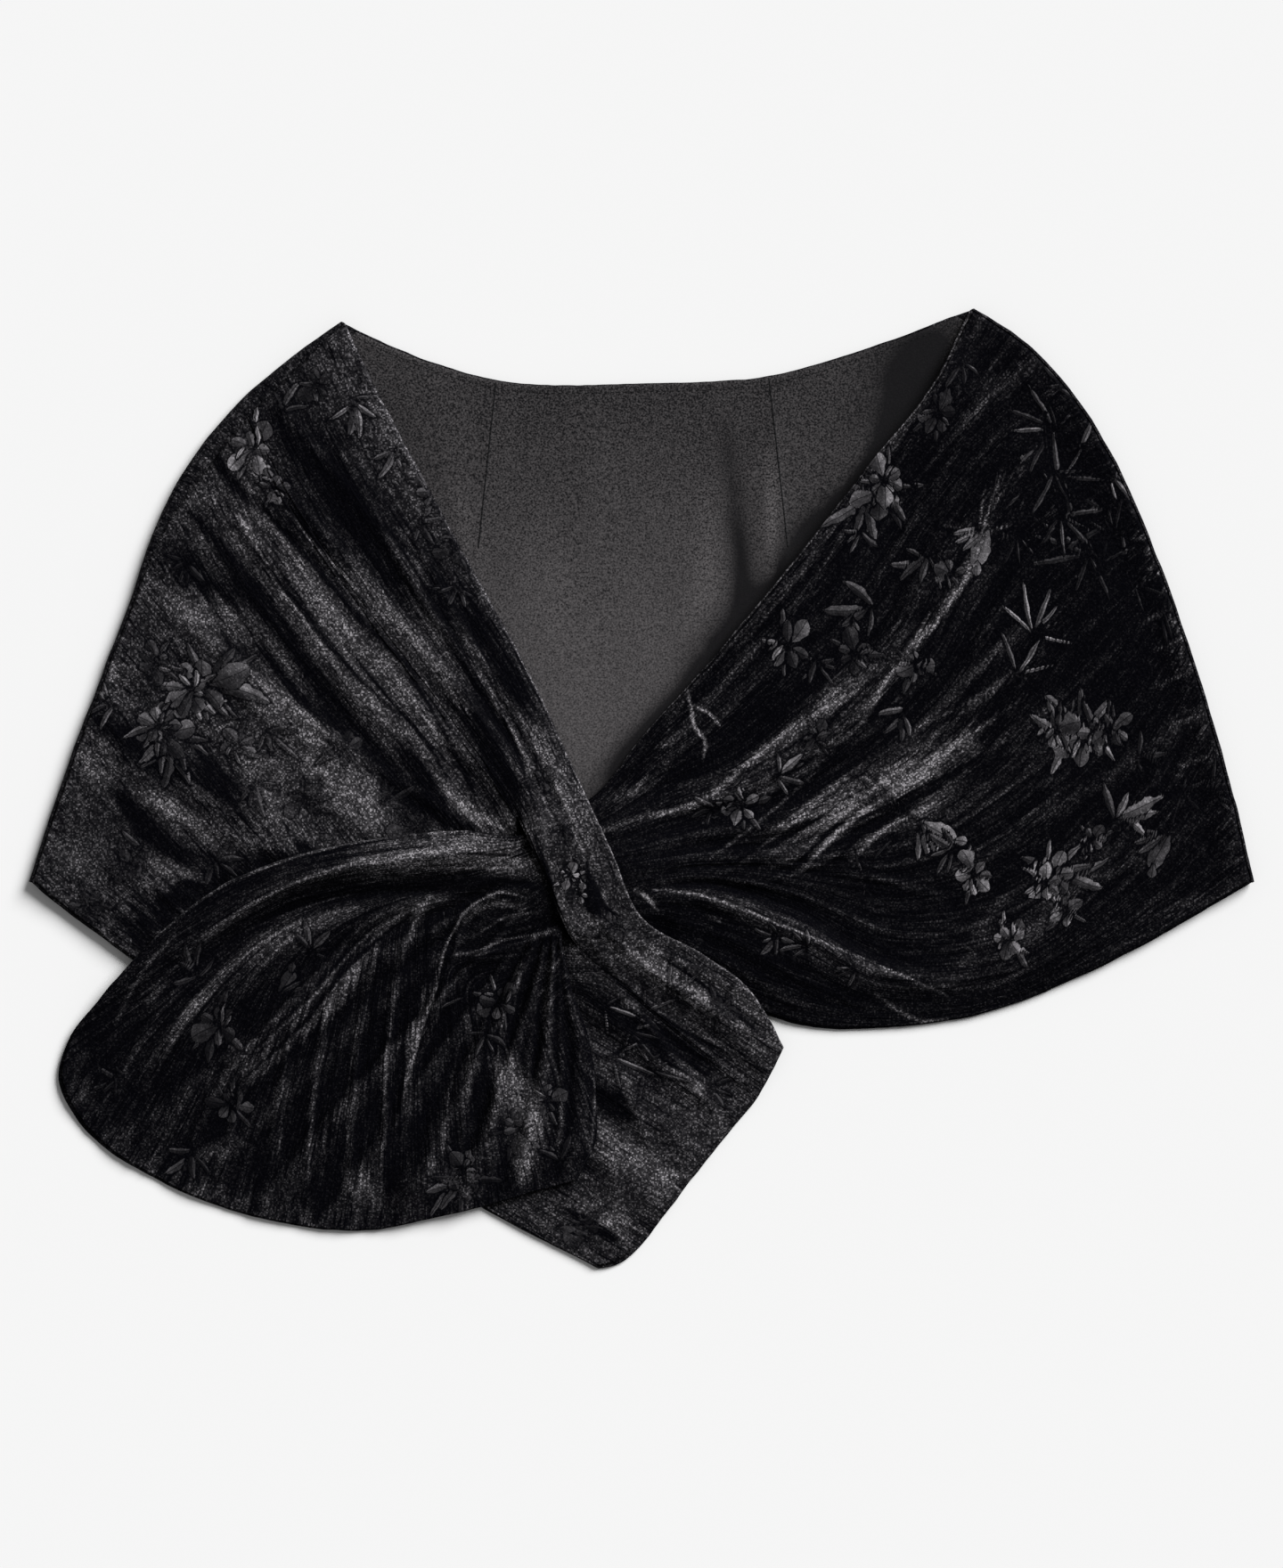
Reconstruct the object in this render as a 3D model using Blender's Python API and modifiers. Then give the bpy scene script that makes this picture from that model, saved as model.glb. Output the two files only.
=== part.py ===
"""A lined velvet pull-through shawl, laid flat and face up, as construction solids.

The sizes and tables here are in millimetres, and the meshes are made in metres. X runs to the viewer's
right, Y up the page and Z up from the surface that the shawl lies on. The origin is on that surface,
below the middle of the whole outline.

One front has a slit near its neck edge. The other front is gathered, passes under the strip of cloth
beside the slit, comes up through the slit and spreads over the first front as a fan.
"""

import math

import bmesh
import bpy
import numpy as np
from mathutils import Vector
from mathutils.bvhtree import BVHTree

MM = 0.001

# Cloth, and how its layers lie
VELVET_WALL = 2.2  # a front: velvet and its lining
BACK_WALL = 1.6  # the back's velvet
LINING_WALL = 1.0
GAP = 0.3  # between two pieces that touch
SIDE_FOLD = 3.6  # outer radius of the folds at the two sides
LINING_LEVEL = BACK_WALL + GAP
FRONT_LEVEL = LINING_LEVEL + LINING_WALL + GAP  # underside of a front where it lies on the back
RIM_LIFT = 2 * SIDE_FOLD - VELVET_WALL - FRONT_LEVEL  # how far a front rises to its side seam
RIM_SHARE = 0.07  # share of a front's length that this rise takes
HEM_FALL = 26.0  # length over which a front comes down to the surface past the back's hem
HEM_CLEAR = 3.0

# The strip between the slit and the neck edge, and the gathered neck of cloth under it
STRIP_HALF = 18.0
STRIP_ANGLE = math.radians(-65)
KNOT = np.array((-28.0, -46.0))  # middle of the strip, where it crosses the neck
DOWN_STRIP = np.array((math.cos(STRIP_ANGLE), math.sin(STRIP_ANGLE)))
TO_FAN = np.array((DOWN_STRIP[1], -DOWN_STRIP[0]))
NECK_DEPTH = 12.0  # thickness of the gathered neck at its middle
NECK_HALF = (37.0, 25.0)  # half its width at the strip's neck edge and at the slit
NECK_SHIFT = (1.0, -9.0)  # its middle there, measured down the strip
SLIT_ENDS = (-44.0, 30.0)  # where the slit begins and ends, measured down the strip
SLIT_OPEN = 0.8  # how far its lower lip stands off the upper one
JOIN_ENDS = (-35.0, 27.0)  # the neck's two edges where the pulled front meets the pulled end
LEAST_WALL = 1.0  # thinnest cloth, where the neck's edge passes the slit's lip
FAN_SPREAD = 0.22  # share of the pulled end over which its gathers open out
LIFT_REACH = 12.0  # an upper piece clears all that is this near below it


def at_strip(down, out):
    """Plan place of a point given by its place down the strip and out towards the fan."""
    return KNOT + DOWN_STRIP * down + TO_FAN * out


def across_strip(down):
    """The strip's two edges at one place down it: x and y on the neck edge, then on the slit's line."""
    return (*at_strip(down, -STRIP_HALF), *at_strip(down, STRIP_HALF))


# Outlines, point by point: x, y
LEFT_SIDE = ((-152, 236), (-176, 219), (-209, 190), (-238, 149), (-262, 86), (-286, 23), (-310, -47))
RIGHT_SIDE = ((168, 243), (190, 229), (216, 203), (240, 165), (261, 117), (283, 54), (301, -9), (310, -47))
NECKLINE = ((-152, 236), (-122, 222), (-74, 207), (0, 205), (65, 209), (126, 227), (168, 243))
BACK_HEM = ((-310, -47), (-259, -68), (-150, -84), (0, -88), (150, -86), (262, -68), (310, -47))
TAIL_END = ((72, -131), (62, -151), (37, -183), (13, -214), (-2, -233), (-12, -241), (-22, -243))
FAN_HEM = (
    (-244, -73), (-272, -104), (-290, -128), (-295, -146), (-286, -167), (-245, -198), (-180, -220),
    (-144, -224), (-108, -218), (-54, -204), (-33, -198),
)  # fmt: skip

# Shares of the width at which every panel has a row of points, so that the panels' seams match
ROWS = np.array((
    0, 0.05, 0.1, 0.15, 0.2, 0.25, 0.3, 0.36, 0.42, 0.48, 0.54, 0.6, 0.66, 0.72, 0.775, 0.8, 0.86, 0.93, 1,
))  # fmt: skip
LIP_ROW = 4

# Side seams: share of the side from the neck down, and how far in from the outline the seam lies
LEFT_SEAM = ((0.0, 2.0), (0.15, 8.5), (0.3, 9.5), (0.42, 5.0), (0.52, 2.0), (1.0, 1.5))
RIGHT_SEAM = ((0.0, 1.5), (1.0, 1.5))

# Sections of each front, from its side seam on: share of the length, then x and y on each lengthwise line
SLIT_LINES = (0.0, 0.2, 0.6, 1.0)  # neck edge, line of the slit, middle, hem, as shares of the width
SLIT_FRONT = (
    # share, neck edge, line of the slit, middle, hem
    (0.000, -152, 236, -205, 194, -263, 82, -310, -47),
    (0.150, -122, 179, -174, 139, -237, 44, -292, -61),
    (0.320, -86, 112, -130, 77, -206, 4, -268, -79),
    (0.460, -56, 57, -96, 33, -178, -30, -247, -94),
    (0.605, *across_strip(SLIT_ENDS[0]), -151, -62, -224, -111),
    (0.695, *across_strip(-8), -126, -87, -202, -127),
    (0.785, *across_strip(SLIT_ENDS[1]), -101, -112, -177, -144),
    (0.865, 30, -83, 0, -108, -60, -142, -131, -176),
    (0.935, 56, -103, 29, -134, -20, -173, -79, -213),
    (1.000, 72, -131, 52, -163, 21, -204, -22, -243),
)
SLIT_FROM, SLIT_TO = SLIT_FRONT[4][0], SLIT_FRONT[6][0]

PULLED_LINES = (0.0, 0.3, 0.55, 0.8, 1.0)  # neck edge, band's ridge, middle, pleat's edge, hem
PULLED_FRONT = (
    # share, neck edge, ridge of the upper band, middle, edge of the lower pleat, hem
    (0.00, 168, 243, 236, 172, 268, 96, 293, 17, 310, -47),
    (0.14, 146, 202, 197, 150, 243, 62, 266, -22, 267, -72),
    (0.28, 116, 165, 165, 114, 213, 28, 232, -56, 222, -95),
    (0.42, 87, 128, 137, 66, 178, -5, 186, -88, 176, -113),
    (0.56, 58, 92, 100, 29, 136, -27, 124, -92, 127, -121),
    (0.70, 27, 56, 59, 2, 88, -35, 78, -68, 78, -119),
    (0.82, 0, 26, 20, -10, 40, -36, 40, -54, 38, -103),
    (0.93, -24, -3, -13, -23, 0, -40, 4, -53, 6, -82),
    (1.00, -43, -14, -35, -31, -28, -45, -22, -59, -17, -70),
)

FAN_LINES = (0.0, 0.2, 0.45, 0.72, 1.0)  # top edge, foot of the roll, two pleats, right edge
PULLED_END = (
    # share, top edge, foot of the rolled fold, upper pleat, lower pleat, right edge
    (0.00, -43, -15, -38, -26, -31, -40, -24, -55, -17, -71),
    (0.09, -59, -23, -54, -32, -49, -43, -44, -55, -37, -69),
    (0.25, -92, -21, -86, -45, -84, -68, -62, -88, -36, -96),
    (0.45, -133, -25, -130, -52, -125, -99, -85, -127, -27, -125),
    (0.65, -176, -34, -180, -64, -168, -135, -107, -165, -23, -152),
    (0.85, -217, -52, -237, -99, -212, -177, -127, -202, -24, -181),
    (1.00, -244, -73, -292, -133, -238, -201, -138, -223, -33, -198),
)
LIP_SHARE = PULLED_END[1][0]

# Folds: from and to along the piece, place across it at each end, half width, height, and lap, which is
# how much steeper the side towards the neck edge is. Places and widths are shares of the piece's width.
SLIT_FOLDS = (
    # from, to, across at from, across at to, half width, height, lap
    (0.10, 0.72, 0.10, 0.04, 0.05, 1.6, 0.2),
    (0.26, 0.80, 0.19, 0.10, 0.05, 2.4, 0.3),
    (0.30, 0.62, 0.30, 0.16, 0.05, 2.0, 0.0),
    (0.02, 0.66, 0.34, 0.27, 0.07, 2.6, 0.2),
    (0.06, 0.66, 0.52, 0.36, 0.07, 2.2, 0.2),
    (0.00, 0.60, 0.74, 0.55, 0.08, 2.4, 0.0),
    (0.78, 1.00, 0.12, 0.10, 0.07, 2.2, 0.3),
    (0.78, 0.99, 0.26, 0.30, 0.07, 2.6, 0.3),
    (0.80, 1.02, 0.42, 0.48, 0.08, 2.2, 0.2),
    (0.82, 1.02, 0.62, 0.68, 0.08, 1.8, 0.0),
)
PULLED_FOLDS = (
    # from, to, across at from, across at to, half width, height, lap
    (0.35, 1.10, 0.10, 0.12, 0.08, 2.2, 0.0),
    (0.08, 1.10, 0.26, 0.30, 0.10, 4.2, 0.0),
    (0.45, 1.10, 0.40, 0.42, 0.07, 3.0, 0.2),
    (0.02, 0.66, 0.50, 0.56, 0.12, 3.2, 0.0),
    (0.60, 1.10, 0.53, 0.51, 0.06, 3.6, 0.2),
    (0.66, 1.10, 0.64, 0.61, 0.05, 3.0, 0.2),
    (0.70, 1.10, 0.72, 0.70, 0.04, 2.2, 0.2),
    (0.46, 1.20, 0.80, 0.80, 0.20, 5.4, 0.88),
)
FAN_FOLDS = (
    # from, to, across at from, across at to, half width, height, lap
    (-0.30, 1.05, 0.09, 0.10, 0.10, 8.0, 0.0),
    (0.02, 1.10, 0.25, 0.27, 0.06, 3.4, 0.2),
    (-0.10, 1.15, 0.36, 0.37, 0.07, 4.6, 0.3),
    (0.10, 1.20, 0.47, 0.47, 0.05, 3.0, 0.2),
    (-0.10, 1.05, 0.57, 0.58, 0.06, 5.2, 0.4),
    (0.15, 1.25, 0.67, 0.67, 0.05, 3.0, 0.2),
    (-0.10, 1.20, 0.75, 0.76, 0.05, 4.2, 0.3),
    (0.10, 1.30, 0.83, 0.84, 0.04, 3.2, 0.2),
    (-0.10, 1.20, 0.90, 0.91, 0.04, 3.8, 0.3),
    (0.15, 1.25, 0.97, 0.97, 0.03, 2.4, 0.0),
)

BLACK = (0.006, 0.006, 0.007)
SATIN_GREY = (0.040, 0.038, 0.036)


def through(knots, values, at):
    """Rows of a smooth curve that passes through the rows of values at the knots, read at the places at."""
    knots, values, at = (np.asarray(a, float) for a in (knots, values, at))
    step = np.diff(knots)[:, None]
    slope = np.diff(values, axis=0) / step
    inner = (slope[:-1] * step[1:] + slope[1:] * step[:-1]) / (step[:-1] + step[1:])
    bend = np.concatenate((slope[:1], inner, slope[-1:]))
    k = np.clip(np.searchsorted(knots, at, side="right") - 1, 0, len(step) - 1)
    t = ((at - knots[k]) / step[k, 0])[:, None]
    start = (1 + 2 * t) * (1 - t) ** 2 * values[k] + t * (1 - t) ** 2 * step[k] * bend[k]
    end = t * t * (3 - 2 * t) * values[k + 1] + t * t * (t - 1) * step[k] * bend[k + 1]
    return start + end


def along(points, share):
    """Points at the given shares of the length of a smooth line through an outline's points."""
    points = np.asarray(points, float)
    chord = np.concatenate(([0.0], np.cumsum(np.hypot(*np.diff(points, axis=0).T))))
    dense = through(chord, points, np.linspace(0, chord[-1], 400))
    length = np.concatenate(([0.0], np.cumsum(np.hypot(*np.diff(dense, axis=0).T))))
    at = np.asarray(share) * length[-1]
    return np.column_stack([np.interp(at, length, dense[:, k]) for k in (0, 1)])


def ease(x):
    """0 below 0, 1 above 1, smooth between."""
    x = np.clip(x, 0.0, 1.0)
    return x * x * (3 - 2 * x)


def inward(side, share):
    """Unit vectors from a side's outline into the garment; at the neck they follow the neckline."""
    ahead = along(side, np.clip(share + 0.01, 0, 1)) - along(side, np.clip(share - 0.01, 0, 1))
    normal = np.column_stack((-ahead[:, 1], ahead[:, 0]))
    normal /= np.linalg.norm(normal, axis=1)[:, None]
    heading = neck_heading(side)
    normal *= np.sign(normal @ heading)[:, None]
    turn = ease(share / 0.08)[:, None]
    mixed = heading * (1 - turn) + normal * turn
    return mixed / np.linalg.norm(mixed, axis=1)[:, None]


def neck_heading(side):
    """The neckline's heading away from a side's top corner."""
    ends = (NECKLINE[1], NECKLINE[0]) if side is LEFT_SIDE else (NECKLINE[-2], NECKLINE[-1])
    heading = np.subtract(*ends).astype(float)
    return heading / np.linalg.norm(heading)


def seam_in(side, share):
    """How far in from the outline a side's seam lies, at the given shares of the side."""
    table = np.array(LEFT_SEAM if side is LEFT_SIDE else RIGHT_SEAM)
    return np.interp(share, table[:, 0], table[:, 1])


def front_start(side, share):
    """A front's edge along its side seam, clear of the end of the back's wall there."""
    rest = seam_in(side, share)
    tilt = np.clip((SIDE_FOLD - rest) / SIDE_FOLD, 0, 1)
    inset = rest + BACK_WALL * tilt + 2 * GAP
    return along(side, share) + inward(side, share) * inset[:, None]


def patch(sections, lines, u, v, start=None, end=None, reach=0.25):
    """Plan of a panel's grid: rows across it and columns along it, through the sections of its table."""
    table = np.array(sections, float)
    rails = through(table[:, 0], table[:, 1:], u).reshape(len(u), len(lines), 2)
    across = rails.transpose(1, 0, 2).reshape(len(lines), -1)
    plan = through(lines, across, v).reshape(len(v), len(u), 2)
    if start is not None:
        plan += (start - plan[:, 0])[:, None] * ((1 - ease(u / reach)) ** 2)[None, :, None]
    if end is not None:
        plan += (end - plan[:, -1])[:, None] * ((1 - ease((1 - u) / reach)) ** 2)[None, :, None]
    return plan


def fold_heights(folds, u, v):
    """The height that a table's folds add at each point of a panel's grid."""
    total = np.zeros((len(v), len(u)))
    for begin, finish, across_begin, across_finish, half_width, height, lap in folds:
        t = np.clip((u - begin) / (finish - begin), 0, 1)
        crest = across_begin + (across_finish - across_begin) * t
        q = (v[:, None] - crest[None, :]) / half_width
        q = np.where(q < 0, q / (1 - lap), q)
        total += height * np.sin(math.pi * t) ** 0.6 * 0.5 * (1 + np.cos(math.pi * np.clip(q, -1, 1)))
    return total


def rest_level(plan):
    """Height of the underside of a front that lies on the back, and on the surface past its hem."""
    hem = np.array(BACK_HEM, float)
    past = through(hem[:, 0], hem[:, 1:], plan[..., 0].ravel()).reshape(plan.shape[:2]) - plan[..., 1]
    return FRONT_LEVEL * (1 - ease((past - HEM_CLEAR) / HEM_FALL))


def strip_places(plan):
    """Each plan point's place down the strip and towards the fan, from the middle of the knot."""
    return (plan - KNOT) @ DOWN_STRIP, (plan - KNOT) @ TO_FAN


def neck_top(plan):
    """Top of the gathered neck of cloth under the strip, and of one flat layer beside it."""
    down, out = strip_places(plan)
    share = np.clip((out + STRIP_HALF) / (2 * STRIP_HALF), 0, 1)
    half = NECK_HALF[0] + (NECK_HALF[1] - NECK_HALF[0]) * share
    middle = NECK_SHIFT[0] + (NECK_SHIFT[1] - NECK_SHIFT[0]) * share
    q = np.clip(np.abs(down - middle) / half, 0, 1)
    crown = np.sqrt(1 - q**2.4)
    return FRONT_LEVEL + VELVET_WALL + (NECK_DEPTH - VELVET_WALL) * crown


def ring(reach):
    """Plan offsets that cover a disc."""
    turns = [(r * reach, 2 * math.pi * k / 12) for r in (0.5, 1.0) for k in range(12)]
    return [np.zeros(2)] + [np.array((r * math.cos(a), r * math.sin(a))) for r, a in turns]


def highest_below(tree, plan, reach):
    """Height that clears all of a piece within reach of each plan point, 0 where there is none."""
    out = np.zeros(plan.shape[:2])
    for offset in ring(reach):
        for index in np.ndindex(out.shape):
            x, y = plan[index] + offset
            hit = tree.ray_cast(Vector((x, y, 100.0)), Vector((0, 0, -1)))[0]
            if hit is not None:
                out[index] = max(out[index], hit.z + 2 * GAP)
    return out


def joining_line(v, out):
    """Where the gathered front changes from one piece to the next, hidden under the strip."""
    down = JOIN_ENDS[0] + (JOIN_ENDS[1] - JOIN_ENDS[0]) * v
    return np.array([at_strip(place, out) for place in down])


def highest_neck(plan, reach):
    """The top of the gathered neck within reach of each plan point."""
    return np.max([neck_top(plan + offset) for offset in ring(reach)], axis=0)


def tent(level, rounds, cut=None):
    """Cloth laid over steps: each point rises to its neighbours' mean, and never sinks.

    cut is the last row before a slit and the columns that the slit spans; the row after it is the
    same line of cloth on the slit's other side.
    """
    level = level.copy()
    for _ in range(rounds):
        padded = np.pad(level, 1, mode="edge")
        before, after = padded[:-2, 1:-1].copy(), padded[2:, 1:-1].copy()
        if cut is not None:
            row, open_columns = cut
            after[row] = np.where(open_columns, level[row], level[row + 2])
            before[row + 1] = np.where(open_columns, level[row + 1], level[row - 1])
        mean = (before + after + padded[1:-1, :-2] + padded[1:-1, 2:]) / 4
        level = np.maximum(level, mean)
        if cut is not None:
            both = np.maximum(level[row], level[row + 1])
            level[row] = np.where(open_columns, level[row], both)
            level[row + 1] = np.where(open_columns, level[row + 1], both)
    return level


def tree_of(plan, top, keep):
    """A tree of the top surface of a panel's grid, of the cells that keep says."""
    rows, columns = top.shape
    points = [Vector((*plan[i], top[i])) for i in np.ndindex(rows, columns)]
    faces = []
    for r, c in np.ndindex(rows - 1, columns - 1):
        if keep[r, c]:
            k = r * columns + c
            faces.append((k, k + 1, k + 1 + columns, k + columns))
    return BVHTree.FromPolygons(points, faces)


def material(name, colour, roughness):
    made = bpy.data.materials.new(name)
    made.use_nodes = True
    shader = made.node_tree.nodes["Principled BSDF"]
    shader.inputs["Base Color"].default_value = (*colour, 1)
    shader.inputs["Roughness"].default_value = roughness
    shader.inputs["Metallic"].default_value = 0.0
    return made


def add_object(name, bm, colour, roughness):
    """Put a piece's mesh in the shawl's collection, in metres, with its faces pointing out."""
    bmesh.ops.scale(bm, vec=(MM, MM, MM), verts=bm.verts[:])
    bmesh.ops.recalc_face_normals(bm, faces=bm.faces[:])
    mesh = bpy.data.meshes.new(name)
    bm.to_mesh(mesh)
    bm.free()
    mesh.materials.append(material(name + "_cloth", colour, roughness))
    mesh.shade_smooth()
    mesh.set_sharp_from_angle(angle=math.radians(50))
    made = bpy.data.objects.new(name, mesh)
    bpy.data.collections["velvet_shawl"].objects.link(made)
    return made


def grid_mesh(plan, height):
    """A grid of faces whose points lie at the plan's places and the given heights."""
    rows, columns = height.shape
    bm = bmesh.new()
    bmesh.ops.create_grid(bm, x_segments=columns - 1, y_segments=rows - 1, size=1)
    bm.verts.ensure_lookup_table()
    for index in np.ndindex(rows, columns):
        bm.verts[index[0] * columns + index[1]].co = (*plan[index], height[index])
    return bm


def cloth_wall(name, plan, top, under, colour, roughness, cut_row=None):
    """A closed wall of cloth between two heights. Rows cut_row and cut_row + 1 are a slit's two lips."""
    rows, columns = top.shape
    bm = grid_mesh(plan, top)
    depth = bm.verts.layers.float.new("under")
    for index in np.ndindex(rows, columns):
        bm.verts[index[0] * columns + index[1]][depth] = under[index]
    if cut_row is not None:
        lips = {bm.verts[r * columns + c] for r in (cut_row, cut_row + 1) for c in range(columns)}
        between = [face for face in bm.faces if all(vert in lips for vert in face.verts)]
        bmesh.ops.delete(bm, geom=between, context="FACES_ONLY")
        loose = [edge for edge in bm.edges if not edge.link_faces]
        bmesh.ops.delete(bm, geom=loose, context="EDGES")
        bmesh.ops.remove_doubles(bm, verts=bm.verts[:], dist=0.001)
    made = bmesh.ops.extrude_face_region(bm, geom=bm.faces[:], use_keep_orig=True)
    for part in made["geom"]:
        if isinstance(part, bmesh.types.BMVert):
            part.co.z = part[depth]
    return add_object(name, bm, colour, roughness)


def back_plan(u, v):
    """Plan of the back between its side outlines, from the neckline to the hem."""
    v = np.concatenate(([0.0], v, [1.0]))
    left, right = along(LEFT_SIDE, v), along(RIGHT_SIDE, v)
    plan = left[:, None] * (1 - u)[None, :, None] + right[:, None] * u[None, :, None]
    neck, hem = along(NECKLINE, u), along(BACK_HEM, u)
    to_neck = (neck - plan[0])[None] * ((1 - v) ** 2)[:, None, None]
    to_hem = (hem - plan[-1])[None] * (v**2)[:, None, None]
    return (plan + to_neck + to_hem)[1:-1]


def side_wrap(side, v):
    """Rows of points round a side's fold: from its seam over the top, down and under to the flat part."""
    edge = along(side, v)
    normal = inward(side, v)
    last = seam_in(side, v)
    lean = np.clip((SIDE_FOLD - last) / SIDE_FOLD, 0, 1)
    seam_height = SIDE_FOLD * (1 + np.sqrt(1 - lean**2))
    rows = [np.column_stack((edge + normal * last[:, None], seam_height))]
    start = np.arccos(lean)
    for share in (1.0, 0.66, 0.33, 0.0, -0.5, -1.0):
        angle = start * share if share > 0 else np.full(len(v), math.pi / 2 * share)
        inset = SIDE_FOLD * (1 - np.cos(angle))
        rows.append(np.column_stack((edge + normal * inset[:, None], SIDE_FOLD * (1 + np.sin(angle)))))
    # where the seam lies on the fold itself, the first two rows would be one
    on_fold = last <= SIDE_FOLD + 0.5
    rows[1][on_fold] = (rows[0][on_fold] + rows[2][on_fold]) / 2
    return rows


def make_back_panel():
    """The back, face down: flat underneath, and turned up round both sides to the side seams."""
    v = ROWS
    u = np.linspace(0, 1, 15)
    flat = back_plan(u, v)
    middle = [np.column_stack((flat[:, k], np.zeros(len(v)))) for k in range(1, len(u) - 1)]
    points = np.stack(side_wrap(LEFT_SIDE, v) + middle + side_wrap(RIGHT_SIDE, v)[::-1], axis=1)
    made = add_object("back_panel", grid_mesh(points[..., :2], points[..., 2]), BLACK, 0.9)
    wall = made.modifiers.new("wall", "SOLIDIFY")
    wall.thickness = BACK_WALL * MM
    wall.offset = -1
    return made


def make_back_lining():
    """The lining of the back, flat on it and short of its edges."""
    plan = back_plan(np.linspace(0.03, 0.97, 17), np.linspace(0.008, 0.95, 11))
    under = np.full(plan.shape[:2], LINING_LEVEL)
    return cloth_wall("back_lining", plan, under + LINING_WALL, under, SATIN_GREY, 0.55)


def make_pulled_front():
    """The gathered front, from its side seam to where the strip hides its end. Gives its top as a tree."""
    u = np.linspace(0, 1, 35)
    v = ROWS
    end = joining_line(v, 0.0)
    plan = patch(PULLED_FRONT, PULLED_LINES, u, v, start=front_start(RIGHT_SIDE, v), end=end)
    under = rest_level(plan) + RIM_LIFT * (1 - ease(u / RIM_SHARE))[None] + fold_heights(PULLED_FOLDS, u, v)
    gathered = ease((u - 0.80) / 0.16)[None] * np.ones(len(v))[:, None]
    top = (under + VELVET_WALL) * (1 - gathered) + neck_top(plan) * gathered
    floor = FRONT_LEVEL * gathered + (top - VELVET_WALL) * (1 - gathered)
    cloth_wall("pulled_front", plan, top, floor, BLACK, 0.85)
    return tree_of(plan, top, np.ones((len(v) - 1, len(u) - 1), bool))


def make_slit_front(pulled):
    """The front with the slit, over the pulled front's end. Gives the top of its body as a tree."""
    u = np.concatenate((
        np.linspace(0, SLIT_FROM, 21),
        np.linspace(SLIT_FROM, SLIT_TO, 9)[1:],
        np.linspace(SLIT_TO, 1, 9)[1:],
    ))  # fmt: skip
    v = np.insert(ROWS, LIP_ROW, ROWS[LIP_ROW])
    in_slit = (u > SLIT_FROM + 1e-6) & (u < SLIT_TO - 1e-6)
    start, end = front_start(LEFT_SIDE, v), along(TAIL_END, v)
    plan = patch(SLIT_FRONT, SLIT_LINES, u, v, start, end, reach=0.12)
    plan[LIP_ROW + 1] += TO_FAN * SLIT_OPEN * in_slit[:, None]
    level = rest_level(plan) + RIM_LIFT * (1 - ease(u / RIM_SHARE))[None]
    level = np.maximum(level, highest_below(pulled, plan, LIFT_REACH))
    neck = highest_neck(plan, LIFT_REACH)
    out = strip_places(plan)[1]
    on_strip = (np.arange(len(v)) <= LIP_ROW)[:, None] & (np.abs(out) < STRIP_HALF + 2)
    over_neck = on_strip & (neck > FRONT_LEVEL + VELVET_WALL)
    level = np.where(over_neck, np.maximum(level, neck + 2 * GAP), level)
    under = tent(level, 12, (LIP_ROW, in_slit)) + fold_heights(SLIT_FOLDS, u, v)
    top = under + VELVET_WALL
    cloth_wall("slit_front", plan, top, under, BLACK, 0.85, cut_row=LIP_ROW)
    body = np.ones((len(v) - 1, len(u) - 1), bool)
    body[: LIP_ROW + 1, u[:-1] < SLIT_TO] = False
    return tree_of(plan, top, body)


def make_pulled_end(body):
    """The end of the gathered front: through the slit, and spread as a fan over the slit front."""
    u = np.concatenate((np.linspace(0, LIP_SHARE, 4), np.linspace(LIP_SHARE, 1, 22)[1:]))
    v = np.linspace(0, 1, 43)
    plan = patch(PULLED_END, FAN_LINES, u, v, joining_line(v, 1.5 * GAP), along(FAN_HEM, v), reach=0.2)
    out = strip_places(plan)[1]
    level = np.maximum(rest_level(plan), highest_below(body, plan, LIFT_REACH))
    emerging = ease((out / STRIP_HALF - 0.3) / 0.6)  # from 0 under the strip to 1 at the slit
    level = FRONT_LEVEL + (level - FRONT_LEVEL) * np.where(u < 2 * LIP_SHARE, emerging, 1)
    level = tent(level, 8)
    spread = ease((u - LIP_SHARE) / FAN_SPREAD)[None]
    hem_ease = 1 - 0.6 * ease((u - 0.8) / 0.2)[None]  # the pleats grow flatter towards the hem
    spread_top = level + fold_heights(FAN_FOLDS, u, v) * hem_ease + VELVET_WALL
    gathered_top = np.maximum(neck_top(plan), level + LEAST_WALL)
    top = spread_top * spread + gathered_top * (1 - spread)
    under = (top - VELVET_WALL) * spread + level * (1 - spread)
    cloth_wall("pulled_end", plan, top, under, BLACK, 0.85)


def main():
    for item in list(bpy.context.scene.objects):
        bpy.data.objects.remove(item, do_unlink=True)
    shawl = bpy.data.collections.new("velvet_shawl")
    bpy.context.scene.collection.children.link(shawl)
    make_back_panel()
    make_back_lining()
    pulled = make_pulled_front()
    body = make_slit_front(pulled)
    make_pulled_end(body)


main()
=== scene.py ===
"""The looks of a lined velvet pull-through shawl, laid flat: pressed black velvet, grey lining, stitching.

The tables of places and sizes are in millimetres, in the frame's own axes: X to the viewer's right, Y up
the page, Z up. Meshes are made in metres. Each panel is a fine shell of cloth whose plan is worked out
from its outline and its lengthwise lines, and whose heights are read from its solid in the frame.
"""

import math
from functools import partial

import bpy
import numpy as np
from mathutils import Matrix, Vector
from mathutils.bvhtree import BVHTree
from mathutils.kdtree import KDTree


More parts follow.
